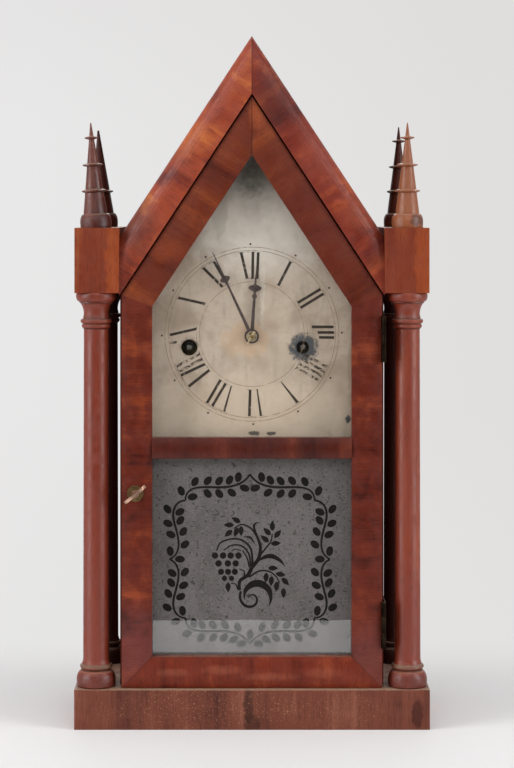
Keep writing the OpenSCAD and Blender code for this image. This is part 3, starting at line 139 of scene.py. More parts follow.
def grid_faces(rows: int, columns: int, wrapped: bool) -> list:
    """Lists the four-cornered faces of a grid of points.

    Args:
        rows: Points along the first parameter.
        columns: Points along the second parameter.
        wrapped: Whether the second parameter closes on itself.

    Returns:
        The faces as rows of corner numbers.
    """
    row, column = np.meshgrid(
        np.arange(rows - 1), np.arange(columns if wrapped else columns - 1), indexing="ij"
    )
    after = (column + 1) % columns
    low, high = row * columns, (row + 1) * columns
    corners = [low + column, low + after, high + after, high + column]
    return np.stack(corners, axis=-1).reshape(-1, 4).tolist()


def prisms(outlines: list, front: float, back: float) -> tuple[np.ndarray, list]:
    """Raises flat outlines to thin closed plates that face the front.

    A plate is its outline at the front depth, the same outline at the back depth, and a band of
    four-cornered faces between them.

    Args:
        outlines: Closed outlines of x and z, in millimetres, counter-clockwise from the front.
        front: Depth y of the front face.
        back: Depth y of the back face.

    Returns:
        The corner places and the faces.
    """
    points, faces, start = [], [], 0
    for outline in outlines:
        flat = np.asarray(outline, float)
        count = len(flat)
        for depth in (front, back):
            points.append(np.column_stack([flat[:, 0], np.full(count, depth), flat[:, 1]]))
        ring = np.arange(count)
        after = (ring + 1) % count
        faces.append((start + ring).tolist())
        faces.append((start + count + ring[::-1]).tolist())
        side = np.column_stack([ring, ring + count, after + count, after]) + start
        faces.extend(side.tolist())
        start += 2 * count
    return np.vstack(points), faces


def curve_through(knots: np.ndarray, per_span: int = 10) -> np.ndarray:
    """Runs a smooth line through points, by cubic pieces whose slopes follow the neighbours.

    Args:
        knots: The points, one row each.
        per_span: Steps between two points.

    Returns:
        The line's points.
    """
    padded = np.vstack([2 * knots[0] - knots[1], knots, 2 * knots[-1] - knots[-2]])
    before, start, end, after = padded[:-3], padded[1:-2], padded[2:-1], padded[3:]
    t = (np.arange(per_span) / per_span)[None, :, None]
    slope_in, slope_out = (end - before) / 2, (after - start) / 2
    line = (
        (2 * t**3 - 3 * t**2 + 1) * start[:, None]
        + (t**3 - 2 * t**2 + t) * slope_in[:, None]
        + (3 * t**2 - 2 * t**3) * end[:, None]
        + (t**3 - t**2) * slope_out[:, None]
    )
    return np.vstack([line.reshape(-1, knots.shape[1]), knots[-1:]])


def bezier(corners: tuple, steps: int = 25) -> np.ndarray:
    """Draws a cubic curve: its four corners, weighed by the cubes and products of t and 1 - t.

    Args:
        corners: x and z of its start, two handles and end, in one row.
        steps: Points on the curve.

    Returns:
        Points of x and z.
    """
    p = np.reshape(corners, (4, 2)).astype(float)
    t = np.linspace(0, 1, steps)[:, None]
    return (
        (1 - t) ** 3 * p[0]
        + 3 * t * (1 - t) ** 2 * p[1]
        + 3 * t**2 * (1 - t) * p[2]
        + t**3 * p[3]
    )


def ribbon(line: np.ndarray, widths: list) -> np.ndarray:
    """Outlines a stroke of changing width along a line: each point is moved sideways by half.

    Args:
        line: Points of x and z.
        widths: Full widths spread evenly from the line's start to its end.

    Returns:
        A closed outline, counter-clockwise.
    """
    ahead = np.gradient(line, axis=0)
    ahead /= np.linalg.norm(ahead, axis=1, keepdims=True)
    left = np.column_stack([-ahead[:, 1], ahead[:, 0]])
    spread = np.interp(np.linspace(0, 1, len(line)), np.linspace(0, 1, len(widths)), widths)
    half = spread[:, None] / 2 * left
    return np.vstack([line - half, (line + half)[::-1]])


def spun(x: np.ndarray, z: np.ndarray, angle: float, centre: np.ndarray) -> np.ndarray:
    """Turns an outline about the origin and moves it to its place.

    Args:
        x: The outline's x values.
        z: The outline's z values.
        angle: The turn in radians.
        centre: Where the origin goes.

    Returns:
        Points of x and z.
    """
    cosine, sine = math.cos(angle), math.sin(angle)
    return np.column_stack([x * cosine - z * sine, x * sine + z * cosine]) + centre


class Grain(Enum):
    """Which way the wood's fibres run, as the turn that brings them upright."""

    UPRIGHT = (0.0, 0.0, 0.0)
    ACROSS = (0.0, -math.pi / 2, 0.0)
    DEEP = (math.pi / 2, 0.0, 0.0)
    RIGHT_SLOPE = (0.0, math.radians(-56.5), 0.0)
    LEFT_SLOPE = (0.0, math.radians(56.5), 0.0)


@dataclass(frozen=True)
class Layer:
    """A colour laid on where noise is high. Cell size in millimetres along each axis, number of
    finer layers, how far cells are bent, the stretch of noise over which the colour comes in,
    its strength after the stretch, the colour, and its strength before the stretch."""

    size: tuple[float, float, float]
    detail: float
    warp: float
    start: float
    end: float
    strength: float
    code: str
    before: float = 0.0


@dataclass(frozen=True)
class Spot:
    """A soft ragged patch of another colour, seen from the front, in millimetres."""

    x: float
    z: float
    wide: float
    high: float
    code: str
    strength: float = 0.8
    ragged: float = 6.0
    soft: float = 1.0
    specks: float = 0.0


@dataclass(frozen=True)
class Seam:
    """A narrow dark line seen from the front: a glued mitre, or dirt and painted shade in a turned
    groove. It leans by degrees from level and ends at its reach on both sides."""

    x: float
    z: float
    lean: float
    wide: float
    strength: float
    reach: float = 400.0


@dataclass(frozen=True)
class Finish:
    """What every finish shares: its name, noise in real sizes, dust and the last shader."""

    name: str

    def build(self) -> Material:
        """Builds the material on the object's own coordinates, in millimetres.

        Returns:
            The finished material.
        """
        material = fresh(self.name)
        tree = material.node_tree
        coords = add(tree, "TexCoord").node.outputs["Object"]
        place = add(tree, "VectorMath", {0: coords, "Scale": 1 / MM}, operation="SCALE")
        self.paint(tree, place)
        return material

    def paint(self, tree: Tree, place: Socket) -> None:
        """Adds the nodes of one kind of finish, which that kind writes."""
        raise NotImplementedError

    def figure(
        self, tree: Tree, vector: Socket, size: tuple, detail: float = 3.0, warp: float = 0.3
    ) -> Socket:
        """Adds noise whose cells have the given size in millimetres.

        Args:
            tree: The node tree.
            vector: The place in millimetres.
            size: Cell size along each axis.
            detail: How many finer layers are added.
            warp: How far the cells are bent.

        Returns:
            The noise, from 0 to 1.
        """
        spread = add(tree, "VectorMath", (vector, size), operation="DIVIDE")
        feeds = {"Vector": spread, "Scale": 1.0, "Detail": detail, "Distortion": warp}
        return add(tree, "TexNoise", feeds)

    def layered(
        self, tree: Tree, vector: Socket, ground: Socket | tuple, layers: tuple[Layer, ...]
    ) -> Socket:
        """Lays layers of colour over a ground, one after another.

        Args:
            tree: The node tree.
            vector: The place in millimetres.
            ground: The colour below.
            layers: The layers from the lowest up.

        Returns:
            The new colour.
        """
        for one in layers:
            noise = self.figure(tree, vector, one.size, one.detail, one.warp)
            stretch = (noise, one.start, one.end, one.before, one.strength)
            mask = add(tree, "MapRange", stretch, **SMOOTH)
            ground = add(tree, "Mix", {0: mask, 6: ground, 7: linear(one.code)}, **COLOUR)
        return ground

    def dusted(self, tree: Tree, place: Socket, ground: Socket, amount: float) -> Socket:
        """Lays thin grey dust on what faces up, in drifts of about 13 mm.

        Args:
            tree: The node tree.
            place: The place in millimetres.
            ground: The colour so far.
            amount: How thick the dust lies.

        Returns:
            The new colour.
        """
        facing = add(tree, "NewGeometry").node.outputs["Normal"]
        upward = add(tree, "SeparateXYZ", (facing,)).node.outputs["Z"]
        lying = add(tree, "MapRange", (upward, 0.45, 0.98, 0.0, amount), **SMOOTH)
        drift = self.figure(tree, place, (13.0, 13.0, 13.0), 3.0, 0.5)
        mask = add(tree, "Math", (drift, lying), operation="MULTIPLY")
        return add(tree, "Mix", {0: mask, 6: ground, 7: linear("a08a78")}, **COLOUR)

    def surfaced(
        self,
        tree: Tree,
        colour: Socket,
        roughness: Socket | float,
        relief: Socket,
        depth: float,
        **constants: float,
    ) -> None:
        """Ends the tree in one shader with colour, roughness and relief.

        Args:
            tree: The node tree.
            colour: The base colour.
            roughness: The roughness.
            relief: Height for the bump.
            depth: The relief's depth in millimetres.
            **constants: Other shader inputs, with blanks written as underscores.
        """
        bump = {"Strength": 0.5, "Distance": depth * MM, "Height": relief}
        feeds = {"Base Color": colour, "Roughness": roughness, "Normal": add(tree, "Bump", bump)}
        feeds.update({key.replace("_", " "): value for key, value in constants.items()})
        add(tree, "OutputMaterial", (add(tree, "BsdfPrincipled", feeds),))


@dataclass(frozen=True)
class MarkedFinish(Finish):
    """A finish with patches and dark lines at places of their own. A patch is where the squared
    distance from its middle, in half sizes, plus ragged noise stays below a rim."""

    spots: tuple[Spot, ...] = ()
    seams: tuple[Seam, ...] = ()

    def marked(
        self, tree: Tree, place: Socket, ground: Socket, rim: float = 2.2, rags: float = 2.4
    ) -> Socket:
        """Lays the patches and then the dark lines over the ground colour.

        Args:
            tree: The node tree.
            place: The place in millimetres.
            ground: The colour so far.
            rim: The distance at which a patch ends.
            rags: How much the noise moves its edge.

        Returns:
            The new colour.
        """
        for spot in self.spots:
            off = add(tree, "VectorMath", (place, (spot.x, 0.0, spot.z)), operation="SUBTRACT")
            spread = (spot.wide / 2, ANY_DEPTH, spot.high / 2)
            off = add(tree, "VectorMath", (off, spread), operation="DIVIDE")
            reach = add(tree, "VectorMath", (off, off), operation="DOT_PRODUCT")
            edge = self.figure(tree, place, (spot.ragged,) * 3)
            edge = add(tree, "Math", (edge, rags, reach), operation="MULTIPLY_ADD")
            stretch = (edge, rim - spot.soft / 2, rim + spot.soft / 2, spot.strength, 0.0)
            mask = add(tree, "MapRange", stretch, **SMOOTH)
            if spot.specks:
                grains = self.figure(tree, place, (spot.specks,) * 3, 2.0, 0.4)
                grains = add(tree, "MapRange", (grains, 0.6, 0.68), **SMOOTH)
                mask = add(tree, "Math", (mask, grains), operation="MULTIPLY")
            ground = add(tree, "Mix", {0: mask, 6: ground, 7: linear(spot.code)}, **COLOUR)
        for seam in self.seams:
            lean = math.radians(seam.lean)
            off = add(tree, "VectorMath", (place, (seam.x, 0.0, seam.z)), operation="SUBTRACT")
            across = (-math.sin(lean), 0.0, math.cos(lean))
            along = (math.cos(lean), 0.0, math.sin(lean))
            masks = []
            for way, start, end, full in (
                (across, seam.wide * 0.25, seam.wide, seam.strength),
                (along, seam.reach - 1.0, seam.reach, 1.0),
            ):
                away = add(tree, "VectorMath", (off, way), operation="DOT_PRODUCT")
                away = add(tree, "Math", (away,), operation="ABSOLUTE")
                masks.append(add(tree, "MapRange", (away, start, end, full, 0.0), **SMOOTH))
            mask = add(tree, "Math", tuple(masks), operation="MULTIPLY")
            ground = add(tree, "Mix", {0: mask, 6: ground, 7: linear("1c0805")}, **COLOUR)
        return ground


@dataclass(frozen=True)
class Veneer(MarkedFinish):
    """Old shellacked mahogany veneer: fine dark pores, wavy light bars across the fibres, worn
    gloss. The eye sees a red-brown ground that turns from dark to orange over each few
    millimetres, with a satin sheen and dust on what faces up."""

    grain: Grain = Grain.UPRIGHT
    dark: str = "3a110b"
    middle: str = "6a2617"
    light: str = "96462a"
    flame: float = 1.0
    contrast: float = 1.0
    roughness: float = 0.42
    gloss: float = 0.18
    dust: float = 0.6
    shift: float = 0.0
    paired: bool = False
    pore: str = "240a06"
    middle_tones: tuple[float, float] = (0.12, 0.52)
    light_tones: tuple[float, float] = (0.5, 0.92)
    rubbing: tuple[float, float] = (-0.07, 0.16)
    sheet_gap: float = 300.0

    def paint(self, tree: Tree, place: Socket) -> None:
        """Lays three tones, marks, pores and dust, and rubs the gloss unevenly.

        Args:
            tree: The node tree.
            place: The place in millimetres.
        """
        along = self.with_fibres_upright(tree, place)
        tone = self.tone(tree, along)
        ground = linear(self.dark)
        for stretch, code in ((self.middle_tones, self.middle), (self.light_tones, self.light)):
            lit = add(tree, "MapRange", (tone, *stretch), **SMOOTH)
            ground = add(tree, "Mix", {0: lit, 6: ground, 7: linear(code)}, **COLOUR)
        ground = self.marked(tree, place, ground)
        # Real pores are about 0.2 mm wide. They are drawn three times as coarse, so that they show.
        pores = self.figure(tree, along, (0.6, 0.6, 7.0), 2.0, 0.1)
        pits = add(tree, "MapRange", (pores, 0.33, 0.46, 0.3, 0.0), **SMOOTH)
        ground = add(tree, "Mix", {0: pits, 6: ground, 7: linear(self.pore)}, **COLOUR)
        ground = self.dusted(tree, place, ground, self.dust)
        rubbed = self.figure(tree, place, (9.0, 9.0, 9.0), 4.0, 0.6)
        satin, dull = (self.roughness + more for more in self.rubbing)
        worn = add(tree, "MapRange", (rubbed, 0.35, 0.7, satin, dull), **SMOOTH)
        self.surfaced(tree, ground, worn, pores, 0.1, Specular_IOR_Level=self.gloss)

    def with_fibres_upright(self, tree: Tree, place: Socket) -> Socket:
        """Turns the place so that the fibres run along its third axis.

        Args:
            tree: The node tree.
            place: The place in millimetres.

        Returns:
            The turned and shifted place.
        """
        if self.paired:
            # The rafters lean opposite ways, so the left one is mirrored onto the right one, and
            # the right one's wood is taken from elsewhere, so that they don't look alike.
            parts = add(tree, "SeparateXYZ", (place,)).node.outputs
            across = add(tree, "Math", (parts["X"],), operation="ABSOLUTE")
            side = add(tree, "Math", (parts["X"], 0.0), operation="GREATER_THAN")
            apart = (side, self.sheet_gap, parts["Y"])
            deep = add(tree, "Math", apart, operation="MULTIPLY_ADD")
            place = add(tree, "CombineXYZ", (across, deep, parts["Z"]))
        turn = {"Vector": place, "Rotation": self.grain.value}
        along = add(tree, "VectorRotate", turn, rotation_type="EULER_XYZ")
        away = (self.shift, self.shift * 1.7, self.shift * 2.3)
        return add(tree, "VectorMath", (along, away), operation="ADD")

    def tone(self, tree: Tree, along: Socket) -> Socket:
        """Weighs fibres, streaks, broad patches and cross bars into one tone.

        Args:
            tree: The node tree.
            along: The place in millimetres with the fibres upright.

        Returns:
            The tone, from dark 0 to light 1.
        """
        # Cell size, finer layers, bend and weight. Real fibres are finer than the first ones.
        layers = (
            ((1.1, 1.1, 32.0), 2.0, 0.1, 0.17),
            ((4.5, 4.5, 120.0), 2.0, 0.15, 0.22),
            ((26.0, 26.0, 150.0), 2.0, 0.4, 0.75),
            ((15.0, 40.0, 11.0), 3.0, 0.6, 0.4 * self.flame),
        )
        total: Socket | float = 0.5
        for size, detail, warp, weight in layers:
            noise = self.figure(tree, along, size, detail, warp)
            centred = add(tree, "Math", (noise, 0.5), operation="SUBTRACT")
            weighed = (centred, weight * self.contrast * 1.6, total)
            total = add(tree, "Math", weighed, operation="MULTIPLY_ADD")
        return total


@dataclass(frozen=True)
class Softwood(Finish):
    """Unpolished pine gone brown: broad early wood, thin dark late wood lines and saw marks
    across them. The eye sees a dry matt tan board with dark streaks and sooty clouds."""

    code: str = "8d6a48"
    rings: Layer = Layer((4.0, 4.0, 260.0), 3.0, 0.5, 0.42, 0.72, 0.6, "5d3e26")
    fibres: Layer = Layer((1.0, 1.0, 30.0), 3.0, 0.2, 0.35, 0.6, 0.0, "3a2616", 0.35)
    soot: Layer = Layer((60.0, 60.0, 60.0), 3.0, 0.5, 0.45, 0.75, 0.5, "3d2b1e")

    def paint(self, tree: Tree, place: Socket) -> None:
        """Lays rings, fibres, soot and dust over the tan, with the saw's marks as relief.

        Args:
            tree: The node tree.
            place: The place in millimetres.
        """
        layers = (self.rings, self.fibres, self.soot)
        ground = self.layered(tree, place, linear(self.code), layers)
        ground = self.dusted(tree, place, ground, 0.8)
        saw = self.figure(tree, place, (60.0, 60.0, 1.6), 1.0, 0.1)
        self.surfaced(tree, ground, 0.85, saw, 0.3)


@dataclass(frozen=True)
class Metal(Finish):
    """Aged clock metal: brass dulled to olive brown, steel greyed or blued, with darker spots
    where fingers and oil have been. The eye sees soft broad reflections and mottled colour."""

    code: str = "a98a4b"
    tarnish: str = "5b4a2a"
    cover: float = 0.5
    roughness: float = 0.36
    metallic: float = 1.0
    patch: float = 7.0
    rubbing: tuple[float, float] = (-0.06, 0.2)

    def paint(self, tree: Tree, place: Socket) -> None:
        """Clouds the metal with tarnish, which is rougher, and scratches it finely.

        Args:
            tree: The node tree.
            place: The place in millimetres.
        """
        cloud = self.figure(tree, place, (self.patch,) * 3, 4.0, 0.6)
        # The more tarnish there is, the lower the noise at which it begins.
        stretch = (cloud, 0.62 - 0.3 * self.cover, 0.8 - 0.2 * self.cover, 0.0, 0.85)
        stain = add(tree, "MapRange", stretch, **SMOOTH)
        tones = {0: stain, 6: linear(self.code), 7: linear(self.tarnish)}
        ground = add(tree, "Mix", tones, **COLOUR)
        ground = self.dusted(tree, place, ground, 0.5)
        satin, dull = (self.roughness + more for more in self.rubbing)
        worn = add(tree, "MapRange", (cloud, 0.3, 0.7, satin, dull), **SMOOTH)
        scratches = self.figure(tree, place, (0.6, 3.0, 3.0), 2.0, 0.2)
        self.surfaced(tree, ground, worn, scratches, 0.04, Metallic=self.metallic)


@dataclass(frozen=True)
class DialPaint(MarkedFinish):
    """Cream oil paint on thin sheet iron, yellowed and smoked, with brown stains near the
    middle and chips down to slate grey metal. The eye sees a matt warm grey, cloudy ground.
    With an ink, the same paint lies on top and is worn through in places."""

    code: str = "baa999"
    smoke: Layer = Layer((34.0, 34.0, 26.0), 4.0, 0.6, 0.42, 0.72, 0.7, "9a8774")
    bleached: Layer = Layer((18.0, 18.0, 18.0), 3.0, 0.3, 0.55, 0.8, 0.5, "cabdb0")
    smudges: Layer = Layer((7.0, 7.0, 36.0), 3.0, 0.5, 0.5, 0.76, 0.45, "8b8175")
    mottle: Layer = Layer((3.6, 3.6, 3.6), 4.0, 0.3, 0.48, 0.7, 0.3, "a48d77")
    flecks: Layer = Layer((1.3, 1.3, 1.3), 2.0, 0.2, 0.66, 0.74, 0.45, "6f5a45")
    ink: str | None = None
    wear: float = 0.5

    def paint(self, tree: Tree, place: Socket) -> None:
        """Ages the cream ground, lays the marks and then the ink, where there is one.

        Args:
            tree: The node tree.
            place: The place in millimetres.
        """
        layers = (self.smoke, self.bleached, self.smudges, self.mottle, self.flecks)
        ground = self.layered(tree, place, linear(self.code), layers)
        ground = self.marked(tree, place, ground)
        if self.ink:
            edge = 0.72 - 0.3 * self.wear
            left = Layer((2.6, 2.6, 2.6), 4.0, 0.5, edge, edge + 0.12, 0.12, self.ink, 0.96)
            ground = self.layered(tree, place, ground, (left,))
        crazing = self.figure(tree, place, (2.0, 2.0, 2.0), 5.0, 1.0)
        worn = add(tree, "MapRange", (crazing, 0.3, 0.7, 0.5, 0.68), **SMOOTH)
        self.surfaced(tree, ground, worn, crazing, 0.06, Specular_IOR_Level=0.2)


@dataclass(frozen=True)
class StencilFilm(Finish):
    """Grey oil paint brushed on the back of the lower glass, smoked and specked with age. The
    eye sees an even dull grey with fine dark specks, thin along its brush marks."""

    code: str = "625d5c"
    speck: str = "302b29"
    blotch: str = "534e4d"
    thin: str = "7c7574"

    def paint(self, tree: Tree, place: Socket) -> None:
        """Lays blotches, fine specks, brush marks and coarse specks over the grey.

        Args:
            tree: The node tree.
            place: The place in millimetres.
        """
        fine = Layer((1.5, 1.5, 1.5), 3.0, 0.3, 0.58, 0.68, 0.75, self.speck)
        layers = (
            Layer((24.0, 24.0, 40.0), 4.0, 0.6, 0.4, 0.7, 0.8, self.blotch),
            fine,
            Layer((3.5, 3.5, 0.9), 2.0, 0.2, 0.52, 0.72, 0.5, self.thin),
            Layer((4.2, 4.2, 4.2), 3.0, 0.8, 0.64, 0.7, 0.7, self.speck),
        )
        ground = self.layered(tree, place, linear(self.code), layers)
        grit = self.figure(tree, place, fine.size, fine.detail, fine.warp)
        self.surfaced(tree, ground, 0.75, grit, 0.05, Specular_IOR_Level=0.08)


@dataclass(frozen=True)
class Pane(Finish):
    """Old window glass: clear, very slightly wavy. The eye sees what is behind it, and a weak
    mirror of the bright table at low places. The lamps' light passes straight through it."""

    def paint(self, tree: Tree, place: Socket) -> None:
        """Adds the wavy glass and, for shadows and for light from rough surfaces, no glass.

        Args:
            tree: The node tree.
            place: The place in millimetres.
        """
        waves = self.figure(tree, place, (40.0, 40.0, 60.0), 1.0, 0.2)
        bump = add(tree, "Bump", {"Strength": 0.08, "Distance": 0.4 * MM, "Height": waves})
        glass = {"Roughness": 0.0, "IOR": 1.5, "Transmission Weight": 1.0, "Normal": bump}
        glass["Base Color"] = linear("fbfdfb")
        rays = add(tree, "LightPath").node.outputs
        passes = (rays["Is Shadow Ray"], rays["Is Diffuse Ray"])
        through = add(tree, "Math", passes, operation="MAXIMUM")
        shades = (through, add(tree, "BsdfPrincipled", glass), add(tree, "BsdfTransparent"))
        add(tree, "OutputMaterial", (add(tree, "MixShader", shades),))


def dress(nodes: dict, table: list[tuple[tuple[str, ...], Finish]]) -> None:
    """Gives solids of the frame their finishes.

    Args:
        nodes: The frame's objects by name.
        table: Pairs of solid names and the finish that they share.
    """
    for names, finish in table:
        material = finish.build()
        for name in names:
            solid = nodes[name]
            if not solid.material_slots:
                solid.data.materials.append(material)
            for slot in solid.material_slots:
                slot.material = material
            log.info("%s dressed in %s", name, finish.name)


@dataclass(frozen=True)
class Lamp:
    """A rectangular lamp: power in watts, size and place in metres, turn in degrees."""

    name: str
    power: float
    size: tuple[float, float]
    place: tuple[float, float, float]
    turn: tuple[float, float, float]

    def hang(self) -> None:
        """Hangs the lamp so that mirrors see it and the camera doesn't."""
        light = bpy.data.lights.new(self.name, "AREA")
        light.shape = "RECTANGLE"
        light.size, light.size_y = self.size
        light.energy = self.power
        lamp = bpy.data.objects.new(self.name, light)
        lamp.location = self.place
        lamp.rotation_euler = [math.radians(angle) for angle in self.turn]
        lamp.visible_camera = False
        bpy.context.scene.collection.objects.link(lamp)


@dataclass
class Studio:
    """A pale sweep of paper with the clock on it, tall soft lamps at its sides, weaker ones
    above, in front and behind, a dark room in front and the camera. Sizes in metres."""

    camera_at: tuple[float, float, float] = (-0.0124, -1.693, 0.382)
    lens: float = 104.3
    frame_shift: tuple[float, float] = (0.0286, -0.229)
    clip: tuple[float, float] = (0.05, 30.0)
    side_size: tuple[float, float] = (0.8, 1.4)
    side_away: float = 1.5
    side_azimuth: float = 62.0
    side_height: float = 0.62
    side_tilt: float = 82.0
    side_power: tuple[float, float] = (21.0, 18.0)
    weak_lamps: tuple[Lamp, ...] = (
        Lamp("lamp_top", 7.0, (1.4, 1.0), (0.0, -0.35, 1.9), (10.0, 0.0, 0.0)),
        Lamp("lamp_front", 8.0, (1.2, 0.7), (0.0, -1.7, 1.3), (58.0, 0.0, 0.0)),
        Lamp("lamp_back", 6.0, (1.2, 0.7), (0.0, 1.7, 1.1), (-62.0, 0.0, 0.0)),
    )
    ambient: float = 0.36
    room_stretch: tuple[float, float] = (-0.85, -0.2)
    room_levels: tuple[float, float] = (0.05, 0.6)
    paper_front: float = -0.47
    paper_back: float = 2.4
    paper_half: float = 2.6
    paper_bend: float = 0.5
    paper_top: float = 2.4
    shade_across: tuple[float, float] = (-0.45, 0.45)
    shade_up: tuple[float, float] = (0.55, 1.3)
    even_behind: tuple[float, float] = (0.05, 0.3)
    even_aside: tuple[float, float] = (0.3, 0.6)
    strip: tuple[float, float] = (-0.2, -0.1)
    painted_reflection_power: float = 1.75

    def build(self) -> None:
        """Builds camera, lamps, world and paper."""
        self.camera()
        self.lamps()
        self.world()
        self.paper()

    def camera(self) -> None:
        """Sets the camera level, with the frame shifted down to the clock."""
        lens = bpy.data.cameras.new("camera")
        lens.lens = self.lens
        lens.shift_x, lens.shift_y = self.frame_shift
        lens.clip_start, lens.clip_end = self.clip
        camera = bpy.data.objects.new("camera", lens)
        camera.location = self.camera_at
        camera.rotation_euler = (math.pi / 2, 0.0, 0.0)
        bpy.context.scene.collection.objects.link(camera)
        bpy.context.scene.camera = camera
        bpy.context.scene.view_settings.view_transform = "Standard"

    def lamps(self) -> None:
        """Hangs a tall lamp on each side of the clock, turned to it, and the weak ones."""
        azimuth = math.radians(self.side_azimuth)
        deep = -self.side_away * math.cos(azimuth)
        for name, side, power in zip(("left", "right"), (-1, 1), self.side_power):
            place = (side * self.side_away * math.sin(azimuth), deep, self.side_height)
            turn = (self.side_tilt, 0.0, side * self.side_azimuth)
            Lamp(f"lamp_{name}", power, self.side_size, place, turn).hang()
        for lamp in self.weak_lamps:
            lamp.hang()

    def world(self) -> None:
        """Fills the room with weak even light. Mirrors see it pale at the sides and dark in
        front, where the unlit part of the room is."""
        world = bpy.data.worlds.new("room")
        bpy.context.scene.world = world
        world.use_nodes = True
        tree = world.node_tree
        tree.nodes.clear()
        rays = add(tree, "LightPath").node.outputs
        heading = add(tree, "TexCoord").node.outputs["Generated"]
        depth = add(tree, "SeparateXYZ", (heading,)).node.outputs["Y"]
        level = add(tree, "MapRange", (depth, *self.room_stretch, *self.room_levels), **SMOOTH)
        fill = add(tree, "Background", (WHITE, self.ambient))
        seen = add(tree, "Background", (linear("e2e1e0"), 1.0))
        mirrored = add(tree, "Background", (WHITE, level))
        passes = (rays["Is Camera Ray"], rays["Is Transmission Ray"])
        straight = add(tree, "Math", passes, operation="MAXIMUM")
        mixed = add(tree, "MixShader", (straight, fill, seen))
        mixed = add(tree, "MixShader", (rays["Is Glossy Ray"], mixed, mirrored))
        add(tree, "OutputWorld", (mixed,))

    def paper(self) -> None:
        """Lays the paper: flat from its front edge, bent up on a quarter circle, then upright."""
        flat = np.linspace(self.paper_front, self.paper_back, 24)
        turn = np.linspace(0, math.pi / 2, 16)[1:]
        rise = np.linspace(self.paper_bend, self.paper_top, 8)[1:]
        bend_y = self.paper_back + self.paper_bend * np.sin(turn)
        bend_z = self.paper_bend * (1 - np.cos(turn))
        upright = np.full(len(rise), self.paper_back + self.paper_bend)
        depth = np.concatenate([flat, bend_y, upright])
        height = np.concatenate([np.zeros(len(flat)), bend_z, rise])
        across = np.linspace(-self.paper_half, self.paper_half, 12)
        x, y = np.meshgrid(across, depth)
        z = np.broadcast_to(height[:, None], x.shape)
        points = np.stack([x, y, z], axis=-1).reshape(-1, 3)
        mesh = bpy.data.meshes.new("paper")
        mesh.from_pydata(points.tolist(), [], grid_faces(len(depth), len(across), False))
        mesh.polygons.foreach_set("use_smooth", np.ones(len(mesh.polygons), bool))
        mesh.materials.append(self.paper_finish())
        paper = bpy.data.objects.new("paper", mesh)
        bpy.context.scene.collection.objects.link(paper)

    def paper_finish(self) -> Material:
        """Builds the material of matt drawing paper.

        Near the clock it is lit and takes the shadow. Behind the clock and far to its sides the
        eye, mirrors and glass see it glow in its written colours, a pale grey with painted shade:
        paler at the left, darker to the right and upwards. For mirrors only, a strip of table
        along its front glows brighter than white, a painted reflection that shows at the foot
        of the lower glass.

        Returns:
            The material.
        """
        material = fresh("studio_paper")
        tree = material.node_tree
        rays = add(tree, "LightPath").node.outputs
        coords = add(tree, "TexCoord").node.outputs["Object"]
        place = add(tree, "SeparateXYZ", (coords,)).node.outputs
        matt = {"Base Color": linear("e2e1e1"), "Roughness": 0.9, "Specular IOR Level": 0.2}
        # Painted shade on the glowing paper: paler at the left, darker to the right and upwards.
        across = add(tree, "MapRange", (place["X"], *self.shade_across))
        low = add(tree, "Mix", {0: across, 6: linear("e9e8e8"), 7: linear("e0dfde")}, **COLOUR)
        upper = add(tree, "MapRange", (place["Z"], *self.shade_up, 0.0, 0.9))
        colour = add(tree, "Mix", {0: upper, 6: low, 7: linear("dddbdb")}, **COLOUR)
        glow = add(tree, "Emission", (colour, 1.0))
        passes = (rays["Is Camera Ray"], rays["Is Glossy Ray"])
        seen = add(tree, "Math", passes, operation="MAXIMUM")
        seen = add(tree, "Math", (seen, rays["Is Transmission Ray"]), operation="MAXIMUM")
        behind = add(tree, "MapRange", (place["Y"], *self.even_behind), **SMOOTH)
        aside = add(tree, "Math", (place["X"],), operation="ABSOLUTE")
        aside = add(tree, "MapRange", (aside, *self.even_aside), **SMOOTH)
        even = add(tree, "Math", (behind, aside), operation="MAXIMUM")
        even = add(tree, "Math", (seen, even), operation="MULTIPLY")
        mixed = add(tree, "MixShader", (even, add(tree, "BsdfPrincipled", matt), glow))
        # Painted reflection: for mirrors only, a strip near the paper's front glows brighter than
        # white.
        strip = add(tree, "MapRange", (place["Y"], *self.strip, 1.0, 0.0))
        strip = add(tree, "Math", (strip, rays["Is Glossy Ray"]), operation="MULTIPLY")
        bright = add(tree, "Emission", (WHITE, self.painted_reflection_power))
        add(tree, "OutputMaterial", (add(tree, "MixShader", (strip, mixed, bright)),))
        return material


# Dark stains and pale specks on the base's front, and a worn line along its upper edge.
BASE_STAINS = (
    Spot(-2.5, 18.0, 7.0, 26.0, "2e1710", 0.7, 3.0),
    Spot(0.0, 4.0, 12.0, 12.0, "30180f", 0.6, 3.0),
    Spot(121.0, 12.0, 8.0, 22.0, "34130d", 0.7, 4.0),
    Spot(-40.0, 16.0, 130.0, 30.0, "b98a66", 0.35, specks=1.1),
    Spot(60.0, 14.0, 90.0, 24.0, "b98a66", 0.25, specks=1.1),
    Spot(0.0, 29.2, 300.0, 0.7, "b08c72", 0.5, 2.0),
)
# Pale scuffs along the door's bottom rail.
BOTTOM_SCUFFS = (
    Spot(-58.0, 41.0, 20.0, 5.0, "a8664c", 0.22, soft=3.0),
    Spot(-22.0, 43.0, 26.0, 6.0, "a8664c", 0.22, soft=3.0),
    Spot(14.0, 38.0, 34.0, 5.0, "a8664c", 0.2, soft=3.0),
    Spot(52.0, 41.0, 22.0, 7.0, "9c5c42", 0.2, soft=3.0),
)
# Orange wood at the right edge of each cornice block.
BLOCK_EDGES = (
    Spot(-101.0, 343.0, 14.0, 60.0, "94451f", 0.5),
    Spot(126.0, 343.0, 14.0, 60.0, "94451f", 0.5),
)
# The right front spire is bleached, and both have dark feet.
SPIRE_MARKS = (
    Spot(116.0, 400.0, 44.0, 170.0, "9a5a34", 0.6),
    Spot(122.0, 373.0, 12.0, 8.0, "3a1a12", 0.7, 4.0),
    Spot(-116.0, 372.0, 30.0, 8.0, "3f1c1a", 0.5, 4.0),
)
